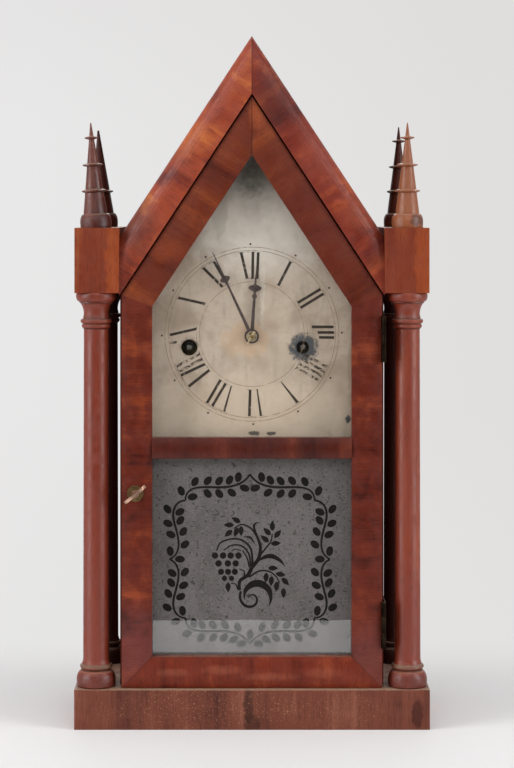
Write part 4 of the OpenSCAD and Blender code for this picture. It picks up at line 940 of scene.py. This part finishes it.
# Broad dark and orange clouds of the gable's mouldings and the door's frame.
LEFT_GABLE_MARKS = (
    Spot(-86.0, 372.0, 26.0, 44.0, "47201d", 0.65, 8.0, 2.8),
    Spot(-50.0, 435.0, 34.0, 26.0, "b5622c", 0.45, 8.0, 2.8),
    Spot(-20.0, 470.0, 26.0, 22.0, "8c3a20", 0.4, 8.0, 2.8),
)
RIGHT_GABLE_MARKS = (
    Spot(16.0, 466.0, 30.0, 44.0, "44201e", 0.6, 8.0, 2.8),
    Spot(52.0, 420.0, 30.0, 34.0, "8c4434", 0.4, 8.0, 2.8),
    Spot(78.0, 378.0, 24.0, 24.0, "9a4c30", 0.35, 8.0, 2.8),
    Spot(92.0, 350.0, 16.0, 24.0, "4a201c", 0.5, 8.0, 2.8),
)
RAFTER_MARKS = (
    Spot(-60.0, 370.0, 26.0, 22.0, "44201c", 0.3, 9.0, 3.2),
    Spot(-63.0, 350.0, 24.0, 14.0, "9c4a26", 0.25, 9.0, 3.2),
    Spot(4.0, 452.0, 12.0, 20.0, "a4522a", 0.5, 6.0, 2.8),
    Spot(48.0, 380.0, 60.0, 90.0, "52201a", 0.45, 9.0, 2.8),
)
STILE_MARKS = (
    Spot(-84.0, 56.0, 24.0, 60.0, "6e3b39", 0.45, 8.0, 2.8),
    Spot(84.0, 50.0, 24.0, 50.0, "74403a", 0.4, 8.0, 2.8),
    Spot(-84.5, 315.0, 22.0, 20.0, "7a2f1c", 0.4, 8.0, 2.8),
)
# Mitres of the door's lower corners, and the joint at the gable's point.
LOW_MITRES = (
    Seam(-73.4, 52.4, 45.0, 0.5, 0.5, 40.0),
    Seam(73.4, 52.4, -45.0, 0.5, 0.5, 40.0),
)
POINT_JOINT = (Seam(0.0, 450.0, 90.0, 0.5, 0.7, 80.0),)


@dataclass
class Woodwork:
    """The mahogany case, the door's frame and the turned columns and spires."""

    foot: float = 29.3
    top: float = 319.7
    foot_grooves: tuple[float, ...] = (0.5, 12.7)
    top_grooves: tuple[float, ...] = (26.4, 19.0, 7.2)

    def build(self, nodes: dict) -> None:
        """Dresses every wooden solid among the frame's objects by name."""
        dress(nodes, self.finishes())

    def grooves(self) -> tuple[Seam, ...]:
        """Lists the dirt and painted shade in the grooves that are turned into the columns' ends.

        Returns:
            A level seam for each groove.
        """
        levels = [self.foot + up for up in self.foot_grooves]
        levels += [self.top - down for down in self.top_grooves]
        # Each line is dirt in its groove and painted shade beneath the turned ring.
        return tuple(Seam(0.0, level, 0.0, 0.8, 0.5) for level in levels)

    def handled(self) -> tuple[Spot, ...]:
        """Lists the columns' darkened feet and the worn rings near both of their ends.

        Returns:
            Patches as wide as the clock.
        """
        return (
            Spot(0.0, self.foot + 5.0, 400.0, 12.0, "481a14", 0.6, 4.0),
            Spot(0.0, self.foot + 15.5, 400.0, 3.6, "63503f", 0.65, 2.0),
            Spot(0.0, self.top - 17.6, 400.0, 2.0, "573528", 0.4, 2.0),
        )

    def finishes(self) -> list[tuple[tuple[str, ...], Finish]]:
        """Lists which solids get which finish.

        Returns:
            Pairs of solid names and a finish.
        """
        upright, across = Grain.UPRIGHT, Grain.ACROSS
        left, right = Grain.LEFT_SLOPE, Grain.RIGHT_SLOPE
        front = Veneer("base_front_veneer", BASE_STAINS, (), upright, "43201a", "673729", "855242")
        plain = Veneer("case_side_veneer", (), (), upright, "30100a", "5a2416", flame=0.6)
        plain = replace(plain, roughness=0.6, gloss=0.1, shift=90.0)
        gable = Veneer("left_gable_veneer", LEFT_GABLE_MARKS, POINT_JOINT, left)
        left_gable = replace(gable, dark="561a12", middle="8a381f", light="b8662f", shift=7.0)
        gable = Veneer("right_gable_veneer", RIGHT_GABLE_MARKS, POINT_JOINT, right)
        right_gable = replace(gable, dark="40120e", middle="6f281b", light="9c4a29", shift=23.0)
        rafters = Veneer("rafter_veneer", RAFTER_MARKS, POINT_JOINT, right)
        rafters = replace(rafters, dark="37100a", middle="5f2616", light="84401f", shift=61.0)
        stiles = Veneer("stile_veneer", STILE_MARKS, LOW_MITRES, across, "310d07", "581f13")
        middle = Veneer("mid_rail_veneer", (), (), upright, "2c0d09", "481a11", "652c1c")
        bottom = Veneer("bottom_rail_veneer", BOTTOM_SCUFFS, LOW_MITRES, upright, "3d110a")
        bottom = replace(bottom, middle="652515", light="8a3f23", shift=35.0)
        columns = Veneer("front_columns_wood", self.handled(), self.grooves(), upright, "42150d")
        columns = replace(columns, middle="702a19", light="914527", gloss=0.42)
        # Painted shade: the rear columns are a near-black copy of the column wood, standing for
        # their shade behind the front ones.
        rear = Veneer("rear_columns_shaded_wood", (), self.grooves(), upright, "150705", "2a100b")
        rear = replace(rear, light="40190f", roughness=0.55)
        blocks = Veneer("block_veneer", BLOCK_EDGES, (), upright, "48180e", "70301e", "965029")
        spires = Veneer("front_spires_wood", SPIRE_MARKS, (), upright, "36130d", "5e2a1e", "7e4430")
        back_spires = Veneer("rear_spires_wood", (), (), upright, "200b07", "3c1810", "5c2b1c")
        pine = ("back_board", "base_bottom_board", "movement_rails", "dial_cleats", "gong_base")
        return [
            (("base_front_board",), replace(front, flame=0.4, roughness=0.5, dust=0.7, shift=11.0)),
            (("base_end_boards",), Veneer("base_end_veneer", shift=40.0, middle="63301f")),
            (("base_top_board",), Veneer("base_top_wood", grain=across, middle="52241a", dust=1.0)),
            (("case_sides", "base_back_board", "latch_keeper"), plain),
            (("roof_boards",), replace(plain, name="roof_wood", grain=Grain.DEEP, shift=120.0)),
            (("gable_moulding_left",), replace(left_gable, flame=0.8, gloss=0.35, dust=0.3)),
            (("gable_moulding_right",), replace(right_gable, flame=0.8, gloss=0.22, dust=0.3)),
            (("door_rafters",), replace(rafters, flame=0.3, contrast=0.75, dust=0.2, paired=True)),
            (("door_stiles",), replace(stiles, light="7f381d", dust=0.2, shift=77.0)),
            (("door_mid_rail",), replace(middle, flame=0.6, dust=0.4, shift=18.0)),
            (("door_bottom_rail",), replace(bottom, flame=0.8, dust=0.4)),
            (("front_columns",), replace(columns, flame=0.2, contrast=0.7, shift=52.0)),
            (("rear_columns",), replace(rear, flame=0.2, contrast=0.7, shift=52.0)),
            (("cornice_blocks",), replace(blocks, flame=0.4, contrast=0.9, dust=0.8, shift=83.0)),
            (("front_spires",), replace(spires, flame=0.5, gloss=0.45, dust=0.8, shift=66.0)),
            (
                ("rear_spires",),
                replace(back_spires, flame=0.2, contrast=0.9, dust=0.8, shift=66.0),
            ),
            (pine, Softwood("old_pine")),
        ]


# Distances from the dial's middle at which the numerals begin and end.
NUMERAL_FOOT, NUMERAL_RIM = 41.3, 61.2


@dataclass(frozen=True)
class Stroke:
    """One brush stroke of a numeral: how far its ends lie to the numeral's left, its widths at
    the rim and at the middle of the dial, and how near the middle it starts."""

    hour: int
    outer: float
    inner: float
    outer_w: float = 2.05
    inner_w: float = 2.05
    starts: float = NUMERAL_FOOT
    ends: float = NUMERAL_RIM
    worn: bool = False


NUMERALS = (
    Stroke(12, 7.0, 2.8),
    Stroke(12, -1.8, -1.2),
    Stroke(12, -5.75, -4.6),
    Stroke(1, 1.0, 0.3),
    Stroke(2, 2.5, 2.5),
    Stroke(2, -1.6, -1.8),
    Stroke(3, 4.4, 4.7, starts=45.0),
    Stroke(3, 0.25, 0.5, starts=49.0),
    Stroke(3, -3.5, -3.2, starts=50.0),
    Stroke(4, 5.9, 5.9, worn=True),
    Stroke(4, 2.0, 2.0, worn=True),
    Stroke(4, -1.9, -1.9, worn=True),
    Stroke(4, -5.8, -5.8, worn=True),
    Stroke(5, 3.0, 0.4, 2.2, 0.7),
    Stroke(6, 5.8, 3.3, 1.8, 0.9),
    Stroke(6, -2.8, -1.9),
    Stroke(7, 10.0, 5.4, 1.6, 1.0),
    Stroke(7, 0.3, 0.8),
    Stroke(7, -4.2, -3.8),
    Stroke(8, 9.3, 6.7),
    Stroke(8, -0.75, 1.2),
    Stroke(8, -3.9, -3.2, worn=True),
    Stroke(8, -8.1, -7.4, worn=True),
    Stroke(9, 5.1, 5.1, starts=56.0, worn=True),
    Stroke(9, -0.3, -4.6),
    Stroke(10, 3.0, -2.8),
    Stroke(11, 5.7, 0.7),
    Stroke(11, -3.5, -3.4),
)
# The dial's painted light at its foot and top, painted shade in its point, along the left rafter
# and along the right stile, a darker cloud, chips at the winding holes and edges, and smears.
DIAL_MARKS = (
    # Painted light: pale clouds over the dial's lower part and over its top, which the rafters
    # shade.
    Spot(0.0, 230.0, 150.0, 44.0, "cdbaa4", 0.55, 9.0, 2.4),
    Spot(4.0, 375.0, 90.0, 80.0, "dcd4ca", 0.8, 9.0, 2.4),
    Spot(20.0, 268.0, 34.0, 30.0, "a08f7c", 0.35, 9.0, 2.4),
    Spot(38.6, 278.2, 21.0, 20.0, "44474b", 0.96, 3.0),
    Spot(-46.5, 278.8, 13.5, 13.5, "5c4c3c", 0.5, 3.0),
    Spot(71.8, 225.0, 4.0, 6.0, "3b3d40", 0.95, 2.0),
    Spot(1.8, 214.4, 8.0, 3.4, "45433f", 0.9, 2.0),
    Spot(14.4, 214.2, 7.0, 2.8, "45433f", 0.9, 2.0),
    # Painted shade: dark patches in the dial's point, where the rafters meet, and a streak along
    # the left rafter's edge.
    Spot(-1.0, 405.0, 46.0, 50.0, "857f74", 0.5, 7.0, 2.8),
    Spot(-0.5, 408.0, 20.0, 30.0, "55514a", 0.85, 4.0, 2.8),
    Spot(-24.0, 384.0, 12.0, 50.0, "968e80", 0.4, 6.0),
    Spot(-4.0, 284.0, 34.0, 24.0, "c09d7c", 0.5, 6.0),
    Spot(8.0, 325.0, 4.0, 44.0, "cfc4b8", 0.5, 3.0),
    # Painted shade: a dark strip along the edge of the right stile.
    Spot(76.0, 262.0, 8.0, 90.0, "8f7558", 0.45, 8.0),
)


@dataclass
class Dial:
    """The painted dial: ground, rings, hour dots, worn hand-painted roman numerals."""

    x: float = 0.1
    z: float = 288.2
    front: float = -36.0
    paint: float = 0.05
    sunk: float = 0.02
    turn: float = -0.9
    ring_w: float = 0.42
    rings: tuple[float, ...] = (62.2, 64.8, 39.0)
    ring_steps: int = 160
    dot_ring: float = 67.0
    dot_r: float = 0.75
    serif_w: float = 0.4
    serif_over: float = 1.9

    def build(self, nodes: dict) -> None:
        """Paints the plate and lays the drawing on it.

        Args:
            nodes: The frame's objects by name.
        """
        ground = DialPaint("dial_paint", DIAL_MARKS)
        dress(nodes, [(("dial_plate",), ground)])
        black = replace(ground, name="dial_ink", ink="251b14", wear=0.35).build()
        faded = replace(ground, name="dial_ink_worn", ink="392b20", wear=0.95).build()
        brown = replace(ground, name="dial_ring_ink", ink="86705a", wear=0.7).build()
        self.lay("numerals", [self.stroke(one) for one in NUMERALS if not one.worn], black)
        self.lay("numerals_worn", [self.stroke(one) for one in NUMERALS if one.worn], faded)
        self.lay("numeral_serifs", self.serifs(), faded)
        self.lay("hour_dots", self.dots(), black)
        for number, radius in enumerate(self.rings):
            self.ring(f"dial_ring_{number}", radius, brown)

    def ray(self, hour: float) -> tuple[np.ndarray, np.ndarray]:
        """Gives the direction from the middle to an hour, and the one to its left.

        Args:
            hour: The hour.

        Returns:
            Two unit directions of x and z.
        """
        angle = math.radians(hour * 30 + self.turn)
        out = np.array([math.sin(angle), math.cos(angle)])
        return out, np.array([-out[1], out[0]])

    def stroke(self, one: Stroke) -> np.ndarray:
        """Outlines a stroke. Its ends follow circles about the dial's middle: where the stroke
        lies s to the side of the hour, an end at radius r lies the root of r² - s² outwards.

        Args:
            one: The stroke.

        Returns:
            Its outline.
        """
        out, left = self.ray(one.hour)
        share = np.linspace(0, 1, 9)
        offset = np.interp(share, [0, 1], [one.inner, one.outer])
        half = np.interp(share, [0, 1], [one.inner_w, one.outer_w]) / 2
        reach = np.interp(share, [0, 1], [one.starts, one.ends])
        sides = []
        for shifted in (offset - half, offset + half):
            along = np.sqrt(reach**2 - shifted**2)
            sides.append(along[:, None] * out + shifted[:, None] * left)
        return np.vstack([sides[0], sides[1][::-1]]) + (self.x, self.z)

    def serifs(self) -> list:
        """Outlines the thin arcs that close each numeral at the rim and near the middle.

        Returns:
            Their outlines.
        """
        outlines = []
        for hour in range(1, 13):
            out, left = self.ray(hour)
            own = [one for one in NUMERALS if one.hour == hour]
            tops, feet = [one.outer for one in own], [one.inner for one in own]
            for reach, ends in ((NUMERAL_RIM, tops), (NUMERAL_FOOT, feet)):
                first, last = min(ends) - self.serif_over, max(ends) + self.serif_over
                spread = np.linspace(first, last, 12)
                line = np.sqrt(reach**2 - spread**2)[:, None] * out + spread[:, None] * left
                outlines.append(ribbon(line + (self.x, self.z), [self.serif_w] * 2))
        return outlines

    def dots(self) -> list:
        """Outlines a dot for each hour.

        Returns:
            Their outlines.
        """
        angle = np.linspace(0, FULL_TURN, 14, endpoint=False)
        circle = self.dot_r * np.column_stack([np.cos(angle), np.sin(angle)])
        return [circle + self.ray(h)[0] * self.dot_ring + (self.x, self.z) for h in range(12)]

    def lay(self, name: str, outlines: list, finish: Material) -> None:
        """Lays outlines on the dial as thin paint.

        Args:
            name: The piece's name.
            outlines: Closed outlines of x and z.
            finish: The paint.
        """
        facing = [self.facing(np.asarray(one)) for one in outlines]
        points, faces = prisms(facing, self.front - self.paint, self.front + self.sunk)
        piece(name, "case", points, faces, finish)

    def facing(self, outline: np.ndarray) -> np.ndarray:
        """Turns an outline so that it runs counter-clockwise as seen from the front.

        Args:
            outline: Points of x and z.

        Returns:
            The same points, reversed if they ran the other way.
        """
        after = np.roll(outline, -1, axis=0)
        area = (outline[:, 0] * after[:, 1] - after[:, 0] * outline[:, 1]).sum()
        return outline if area > 0 else outline[::-1]

    def ring(self, name: str, radius: float, finish: Material) -> None:
        """Draws one thin circle: a small rectangle carried round the dial's middle.

        Args:
            name: The piece's name.
            radius: The circle's radius.
            finish: The paint.
        """
        angle = np.linspace(0, FULL_TURN, self.ring_steps, endpoint=False)
        spoke = np.column_stack([np.cos(angle), np.zeros(self.ring_steps), np.sin(angle)])
        inner, outer = radius - self.ring_w / 2, radius + self.ring_w / 2
        upper, under = self.front - self.paint, self.front + self.sunk
        section = ((inner, under), (inner, upper), (outer, upper), (outer, under), (inner, under))
        rows = [np.array([self.x, y, self.z]) + r * spoke for r, y in section]
        faces = grid_faces(len(section), self.ring_steps, True)
        piece(name, "case", np.vstack(rows), faces, finish)


# The upper half and one side of the stencilled border's stem, from the tablet's middle, as
# cubic curves: x and z of start, two handles and end.
BORDER_TOP = (
    (0, 62.8, 3.5, 56.5, 11, 53.2, 21.6, 53.1),
    (21.6, 53.1, 34, 53, 47.6, 55.5, 47.6, 43.4),
)
BORDER_SIDE = (
    (47.6, 43.4, 54.5, 43.2, 57.8, 37, 56.3, 29),
    (56.3, 29, 54.9, 21.5, 47.5, 5.5, 59.2, 0),
)
# The grape spray's stems and tendrils: x and z of the points they run through, and their widths.
SPRAY_STEMS = (
    ((-8.5, -15.8, -8.2, -9.0, -2.3, -4.5, 0.6, 1.1), (1.8, 2.2, 2.5)),
    ((0.6, 1.1, 5.7, 7.9, 6.8, 17.0, 3.4, 26.6), (2.4, 2.2, 1.4)),
    ((3.4, 26.6, 2.3, 30.5, 2.8, 33.3, 6.5, 34.5), (1.4, 1.5, 0.3)),
    (
        (-5.1, -22.6, -4.0, -15.8, 1.1, -11.3, 7.3, -11.0, 13.0, -15.3, 14.7, -22.0, 13.3, -27.4),
        (0.3, 2.6, 4.2, 4.5, 3.6, 2.0, 0.3),
    ),
    ((4.5, 5.1, 10.2, 8.8, 15.8, 9.3, 21.5, 6.2, 25.1, 2.0), (0.3, 2.4, 3.0, 2.0, 0.3)),
    ((-1.7, -6.2, 5.7, -1.7, 13.0, -1.7, 18.6, -5.7, 21.2, -10.7), (1.2, 1.0, 0.8)),
    ((5.7, 9.0, 11.3, 15.8, 14.7, 20.3, 15.8, 26.0), (1.2, 1.0, 0.8)),
    ((4.5, 23.7, 0.0, 29.9, -6.8, 32.8, -12.7, 29.9), (1.2, 1.0, 0.8)),
    ((-5.4, 23.7, -0.6, 23.2, 2.8, 18.6), (0.3, 1.6, 0.3)),
    (
        (1.1, 3.4, 1.1, 6.8, -0.6, 15.8, -7.3, 21.5, -15.3, 22.0, -22.6, 19.2, -25.4, 13.6),
        (1.4, 1.2, 0.9),
    ),
    ((0.0, 2.3, -1.7, 11.3, -6.8, 16.9, -14.1, 17.5, -20.3, 13.8), (1.2, 1.1, 0.8)),
    ((-1.1, 1.1, -2.8, 7.9, -6.2, 13.6), (1.1, 0.8)),
    ((-14.4, 13.3, -11.3, 14.7, -7.3, 13.3), (0.7, 0.7)),
    ((-5.1, -6.2, -5.1, -1.7, -8.5, -0.3), (1.0, 0.7)),
    ((-9.6, -15.3, -11.3, -11.3, -14.7, -10.7), (0.9, 0.6)),
)
# Its leaves: x, z and the heading of the point in degrees.
SPRAY_LEAVES = (
    (16.4, 0.6, 0.0), (22.0, -4.0, -10.0), (25.4, -9.3, -45.0), (24.0, -17.8, -90.0),
    (18.9, -13.0, -95.0), (15.0, -9.0, -95.0), (11.1, -6.5, -95.0), (15.8, 31.9, 90.0),
    (19.8, 26.0, 50.0), (18.4, 18.9, 5.0), (11.9, 27.7, 135.0), (10.2, 22.3, 140.0),
    (-11.0, 36.2, 150.0), (-16.4, 32.5, 180.0), (-16.7, 26.3, -140.0), (-11.0, 27.1, -110.0),
    (-7.3, 28.0, -90.0), (-16.9, -13.6, -90.0),
)
# Its grapes: x, z and radius.
GRAPES = (
    (-26.6, 9.9, 2.43), (-20.6, 9.9, 2.43), (-15.0, 9.9, 2.43), (-9.2, 9.9, 2.43),
    (-24.0, 4.1, 2.43), (-17.1, 4.1, 2.43), (-11.3, 4.1, 2.43), (-22.1, -2.1, 2.3),
    (-16.9, -2.1, 2.3), (-11.9, -2.1, 2.3), (-19.6, -6.9, 2.0), (-14.4, -6.9, 2.0),
)


@dataclass
class StencilTablet:
    """The lower glass's painted back: grey film with the leaf border and the grape spray left
    open in it, and a near-black sheet behind that shows through them: the leaves' dark paint and
    painted shade that hides the lit works inside."""

    x: float = -1.4
    z: float = 122.7
    film_y: float = -48.95
    film_t: float = 0.08
    edges: tuple[float, float, float, float] = (-77.0, 77.0, 48.8, 201.6)
    sliver: float = 1e-7
    stem_w: float = 1.8
    stem_swell: tuple[float, ...] = (0.7, 1.0, 0.8)
    leaf: tuple[float, float] = (7.4, 5.2)
    leaf_room: float = 5.4
    leaf_off: float = 4.7
    leaf_step: float = 8.5
    leaf_lean: float = 50.0
    first_leaf: float = 5.0
    last_leaf: float = 3.0
    spray_at: tuple[float, float] = (-0.63, 115.5)
    thicker: float = 1.2
    scroll_at: tuple[float, float] = (0.3, -22.0)
    scroll_span: tuple[float, float] = (144.0, 530.0)
    scroll_reach: float = 8.2
    scroll_shrink: float = 0.00385
    scroll_widths: tuple[float, ...] = (1.9, 2.1, 1.7, 1.2, 0.7)
    drop_size: tuple[float, float] = (7.6, 3.8)
    backing_gap: float = 0.25
    backing_t: float = 0.1

    def build(self) -> None:
        """Cuts the border and the spray out of the film and lays it behind the glass."""
        film = StencilFilm("stencil_film").build()
        points, faces = self.cut_out(self.border() + self.spray())
        made = piece("stencil_film", "door", points, faces, film)
        thick = made.modifiers.new("thick", "SOLIDIFY")
        thick.thickness = self.film_t * MM
        thick.offset = 0.0
        # Painted shade: a near-black sheet just behind the film. It is partly the leaves' dark
        # paint, and it darkens the open leaves and hides the lit works behind them.
        front = self.film_y + self.backing_gap
        points, faces = prisms([self.sheet()], front, front + self.backing_t)
        dark = StencilFilm("stencil_ink_and_shade", "130e0d", "0d0908", "171110", "191312").build()
        piece("stencil_ink_and_shade", "door", points, faces, dark)

    def sheet(self) -> np.ndarray:
        """Gives the film's four corners."""
        left, right, low, high = self.edges
        return np.array([(left, low), (right, low), (right, high), (left, high)])

    def cut_out(self, outlines: list) -> tuple[np.ndarray, list]:
        """Splits the film into triangles along every outline and drops those inside one.

        Args:
            outlines: Closed outlines of x and z.

        Returns:
            The corner places and the triangles that stay.
        """
        loops = [self.sheet(), *outlines]
        starts = np.cumsum([0] + [len(loop) for loop in loops])
        edges = []
        for start, loop in zip(starts, loops):
            ring = np.arange(len(loop))
            edges.append(start + np.column_stack([ring, (ring + 1) % len(loop)]))
        flat = np.vstack(loops)
        found = delaunay_2d_cdt(flat.tolist(), np.vstack(edges).tolist(), [], 0, 1e-5, False)
        spots = np.array([tuple(v) for v in found[0]])
        triangles = np.array([list(face) for face in found[2]])
        middle = spots[triangles].mean(axis=1)
        open_here = np.zeros(len(triangles), bool)
        for outline in outlines:
            open_here |= self.inside(middle, outline)
        kept = triangles[~open_here]
        a, b, c = (spots[kept[:, k]] for k in range(3))
        area = (b - a)[:, 0] * (c - a)[:, 1] - (b - a)[:, 1] * (c - a)[:, 0]
        kept[area < 0] = kept[area < 0][:, ::-1]
        kept = kept[np.abs(area) > self.sliver]
        points = np.column_stack([spots[:, 0], np.full(len(spots), self.film_y), spots[:, 1]])
        used = np.unique(kept)
        renumber = np.zeros(len(points), int)
        renumber[used] = np.arange(len(used))
        return points[used], renumber[kept].tolist()

    def inside(self, places: np.ndarray, outline: np.ndarray) -> np.ndarray:
        """Tests which places lie inside an outline, by counting the edges to their right.

        Args:
            places: Points of x and z.
            outline: A closed outline.

        Returns:
            One truth value for each place.
        """
        x, z = places[:, 0, None], places[:, 1, None]
        x0, z0 = outline[:, 0], outline[:, 1]
        x1, z1 = np.roll(x0, -1), np.roll(z0, -1)
        spans = (z0 > z) != (z1 > z)
        rise = np.where(z1 == z0, 1e-12, z1 - z0)
        crossing = x0 + (z - z0) / rise * (x1 - x0)
        return (spans & (x < crossing)).sum(axis=1) % 2 == 1

    def oval(self, centre: np.ndarray, angle: float, long: float, wide: float) -> np.ndarray:
        """Outlines an oval leaf or a grape.

        Args:
            centre: Its middle.
            angle: The direction of its length, in radians.
            long: Its length.
            wide: Its width.

        Returns:
            The outline.
        """
        turn = np.linspace(0, FULL_TURN, 18, endpoint=False)
        return spun(long / 2 * np.cos(turn), wide / 2 * np.sin(turn), angle, centre)

    def drop(self, centre: np.ndarray, angle: float) -> np.ndarray:
        """Outlines a pointed leaf, whose half width is the sine of its length's share, bent by a
        power so that it is widest nearer its foot.

        Args:
            centre: Its middle.
            angle: The direction of its point.

        Returns:
            The outline.
        """
        long, wide = self.drop_size
        share = np.linspace(0, 1, 12)
        half = wide / 2 * np.sin(math.pi * share**0.8) + 0.05
        length = (share - 0.5) * long
        x = np.concatenate([length, length[::-1]])
        return spun(x, np.concatenate([-half, half[::-1]]), angle, centre)

    def border(self) -> list:
        """Draws the border: a curling stem in eight stretches with leaves on both sides.

        Returns:
            Closed outlines.
        """
        widths = [self.stem_w * share for share in self.stem_swell]
        outlines, taken = [], []
        for first, second in (BORDER_TOP, BORDER_SIDE):
            stretch = np.vstack([bezier(first), bezier(second)[1:]])
            for mirror in ((1, 1), (-1, 1), (-1, -1), (1, -1)):
                # The leaves grow from the middle of the lower edge up to that of the upper one.
                line = (stretch * mirror + (self.x, self.z))[:: -mirror[1]]
                outlines.append(ribbon(line, widths))
                outlines.extend(self.leaves(line, taken))
        return outlines

    def leaves(self, line: np.ndarray, taken: list) -> list:
        """Sets leaves along a stem at even steps, on both sides, leaning forward. A leaf that
        would lie on another is left out.

        Args:
            line: The stem's points.
            taken: The middles of the leaves set so far, to which this adds its own.

        Returns:
            The leaves' outlines.
        """
        steps = np.linalg.norm(np.diff(line, axis=0), axis=1)
        run = np.concatenate([[0], np.cumsum(steps)])
        ahead = np.gradient(line, axis=0)
        ahead /= np.linalg.norm(ahead, axis=1, keepdims=True)
        places = np.arange(self.first_leaf, run[-1] - self.last_leaf, self.leaf_step)
        rows = [np.interp(places, run, values) for values in (*line.T, *ahead.T)]
        outlines = []
        for side in (-1, 1):
            for x, z, dx, dz in zip(*rows):
                centre = np.array([x - side * dz * self.leaf_off, z + side * dx * self.leaf_off])
                angle = math.atan2(dz, dx) + side * math.radians(self.leaf_lean)
                if all(np.linalg.norm(centre - other) > self.leaf_room for other in taken):
                    outlines.append(self.oval(centre, angle, *self.leaf))
                    taken.append(centre)
        return outlines

    def spray(self) -> list:
        """Draws the grape spray in the middle: stems, leaves, grapes and a curled scroll whose
        radius shrinks as e to the power of minus its turn.

        Returns:
            Closed outlines.
        """
        origin = np.array(self.spray_at)
        outlines = []
        for knots, widths in SPRAY_STEMS:
            line = curve_through(np.reshape(knots, (-1, 2)))
            outlines.append(ribbon(line + origin, [self.thicker * width for width in widths]))
        turn = np.radians(np.linspace(*self.scroll_span, 70))
        reach = self.scroll_reach * np.exp(-self.scroll_shrink * (np.degrees(turn) - 180))
        scroll = np.column_stack([reach * np.cos(turn), reach * np.sin(turn)]) + self.scroll_at
        outlines.append(ribbon(scroll + origin, self.scroll_widths))
        for x, z, heading in SPRAY_LEAVES:
            outlines.append(self.drop(origin + (x, z), math.radians(heading)))
        for x, z, radius in GRAPES:
            outlines.append(self.oval(origin + (x, z), 0.0, 2 * radius, 2 * radius))
        return outlines


@dataclass
class Movement:
    """Brass plates and wheels, steel arbors and springs, the iron gong and the bob, with the
    door's hinges, knob and glasses."""

    brass: tuple[str, ...] = (
        "back_plate", "time_great_wheel", "center_wheel", "third_wheel", "escape_wheel",
        "minute_wheel", "hour_wheel", "strike_great_wheel", "strike_second_wheel",
        "strike_third_wheel", "fly", "pendulum_bob",
    )
    steel: tuple[str, ...] = (
        "screws", "plate_pillars", "front_studs", "time_mainspring", "strike_mainspring",
        "time_winding_arbor", "strike_winding_arbor", "time_click", "strike_click", "verge",
        "pendulum_rod", "hammer", "gong_coil",
    )

    def build(self, nodes: dict) -> None:
        """Dresses every solid of metal and glass.

        Args:
            nodes: The frame's objects by name.
        """
        hinges = Metal("hinge_brass", "2b2118", "15100c", 0.9, 0.6)
        washer = Metal("hand_washer_brass", "d3bf9f", "7f664a", 0.3, 0.3, patch=2.0)
        knob_plate = Metal("knob_plate_brass", "967d55", "3f2d1c", 0.6, patch=2.2)
        blued = Metal("rusty_blue_steel", "4a3c3a", "291b18", 0.5, 0.5, 0.3)
        table = [
            (self.brass, Metal("movement_brass")),
            (self.steel, Metal("movement_steel", "8f8a84", "4a4038")),
            (("case_hinges", "door_hinges"), hinges),
            (("front_plate",), Metal("front_plate_brass", "85703f", "2f2618", 0.8)),
            (("knob_plate",), knob_plate),
            (("door_knob",), Metal("knob_brass", "bb9884", "6b4f3c", patch=3.0)),
            (("minute_arbor", "hand_pin"), washer),
            (("hour_hand", "minute_hand"), blued),
            (("upper_glass", "lower_glass"), Pane("old_glass")),
        ]
        dress(nodes, table)


def main() -> None:
    """Builds the studio and dresses the clock, one sub-assembly after another."""
    logging.basicConfig(level=logging.INFO, format="%(message)s")
    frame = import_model()
    nodes = frame["nodes"]
    Studio().build()
    Woodwork().build(nodes)
    Dial().build(nodes)
    StencilTablet().build()
    Movement().build(nodes)


if __name__ == "__main__":
    main()
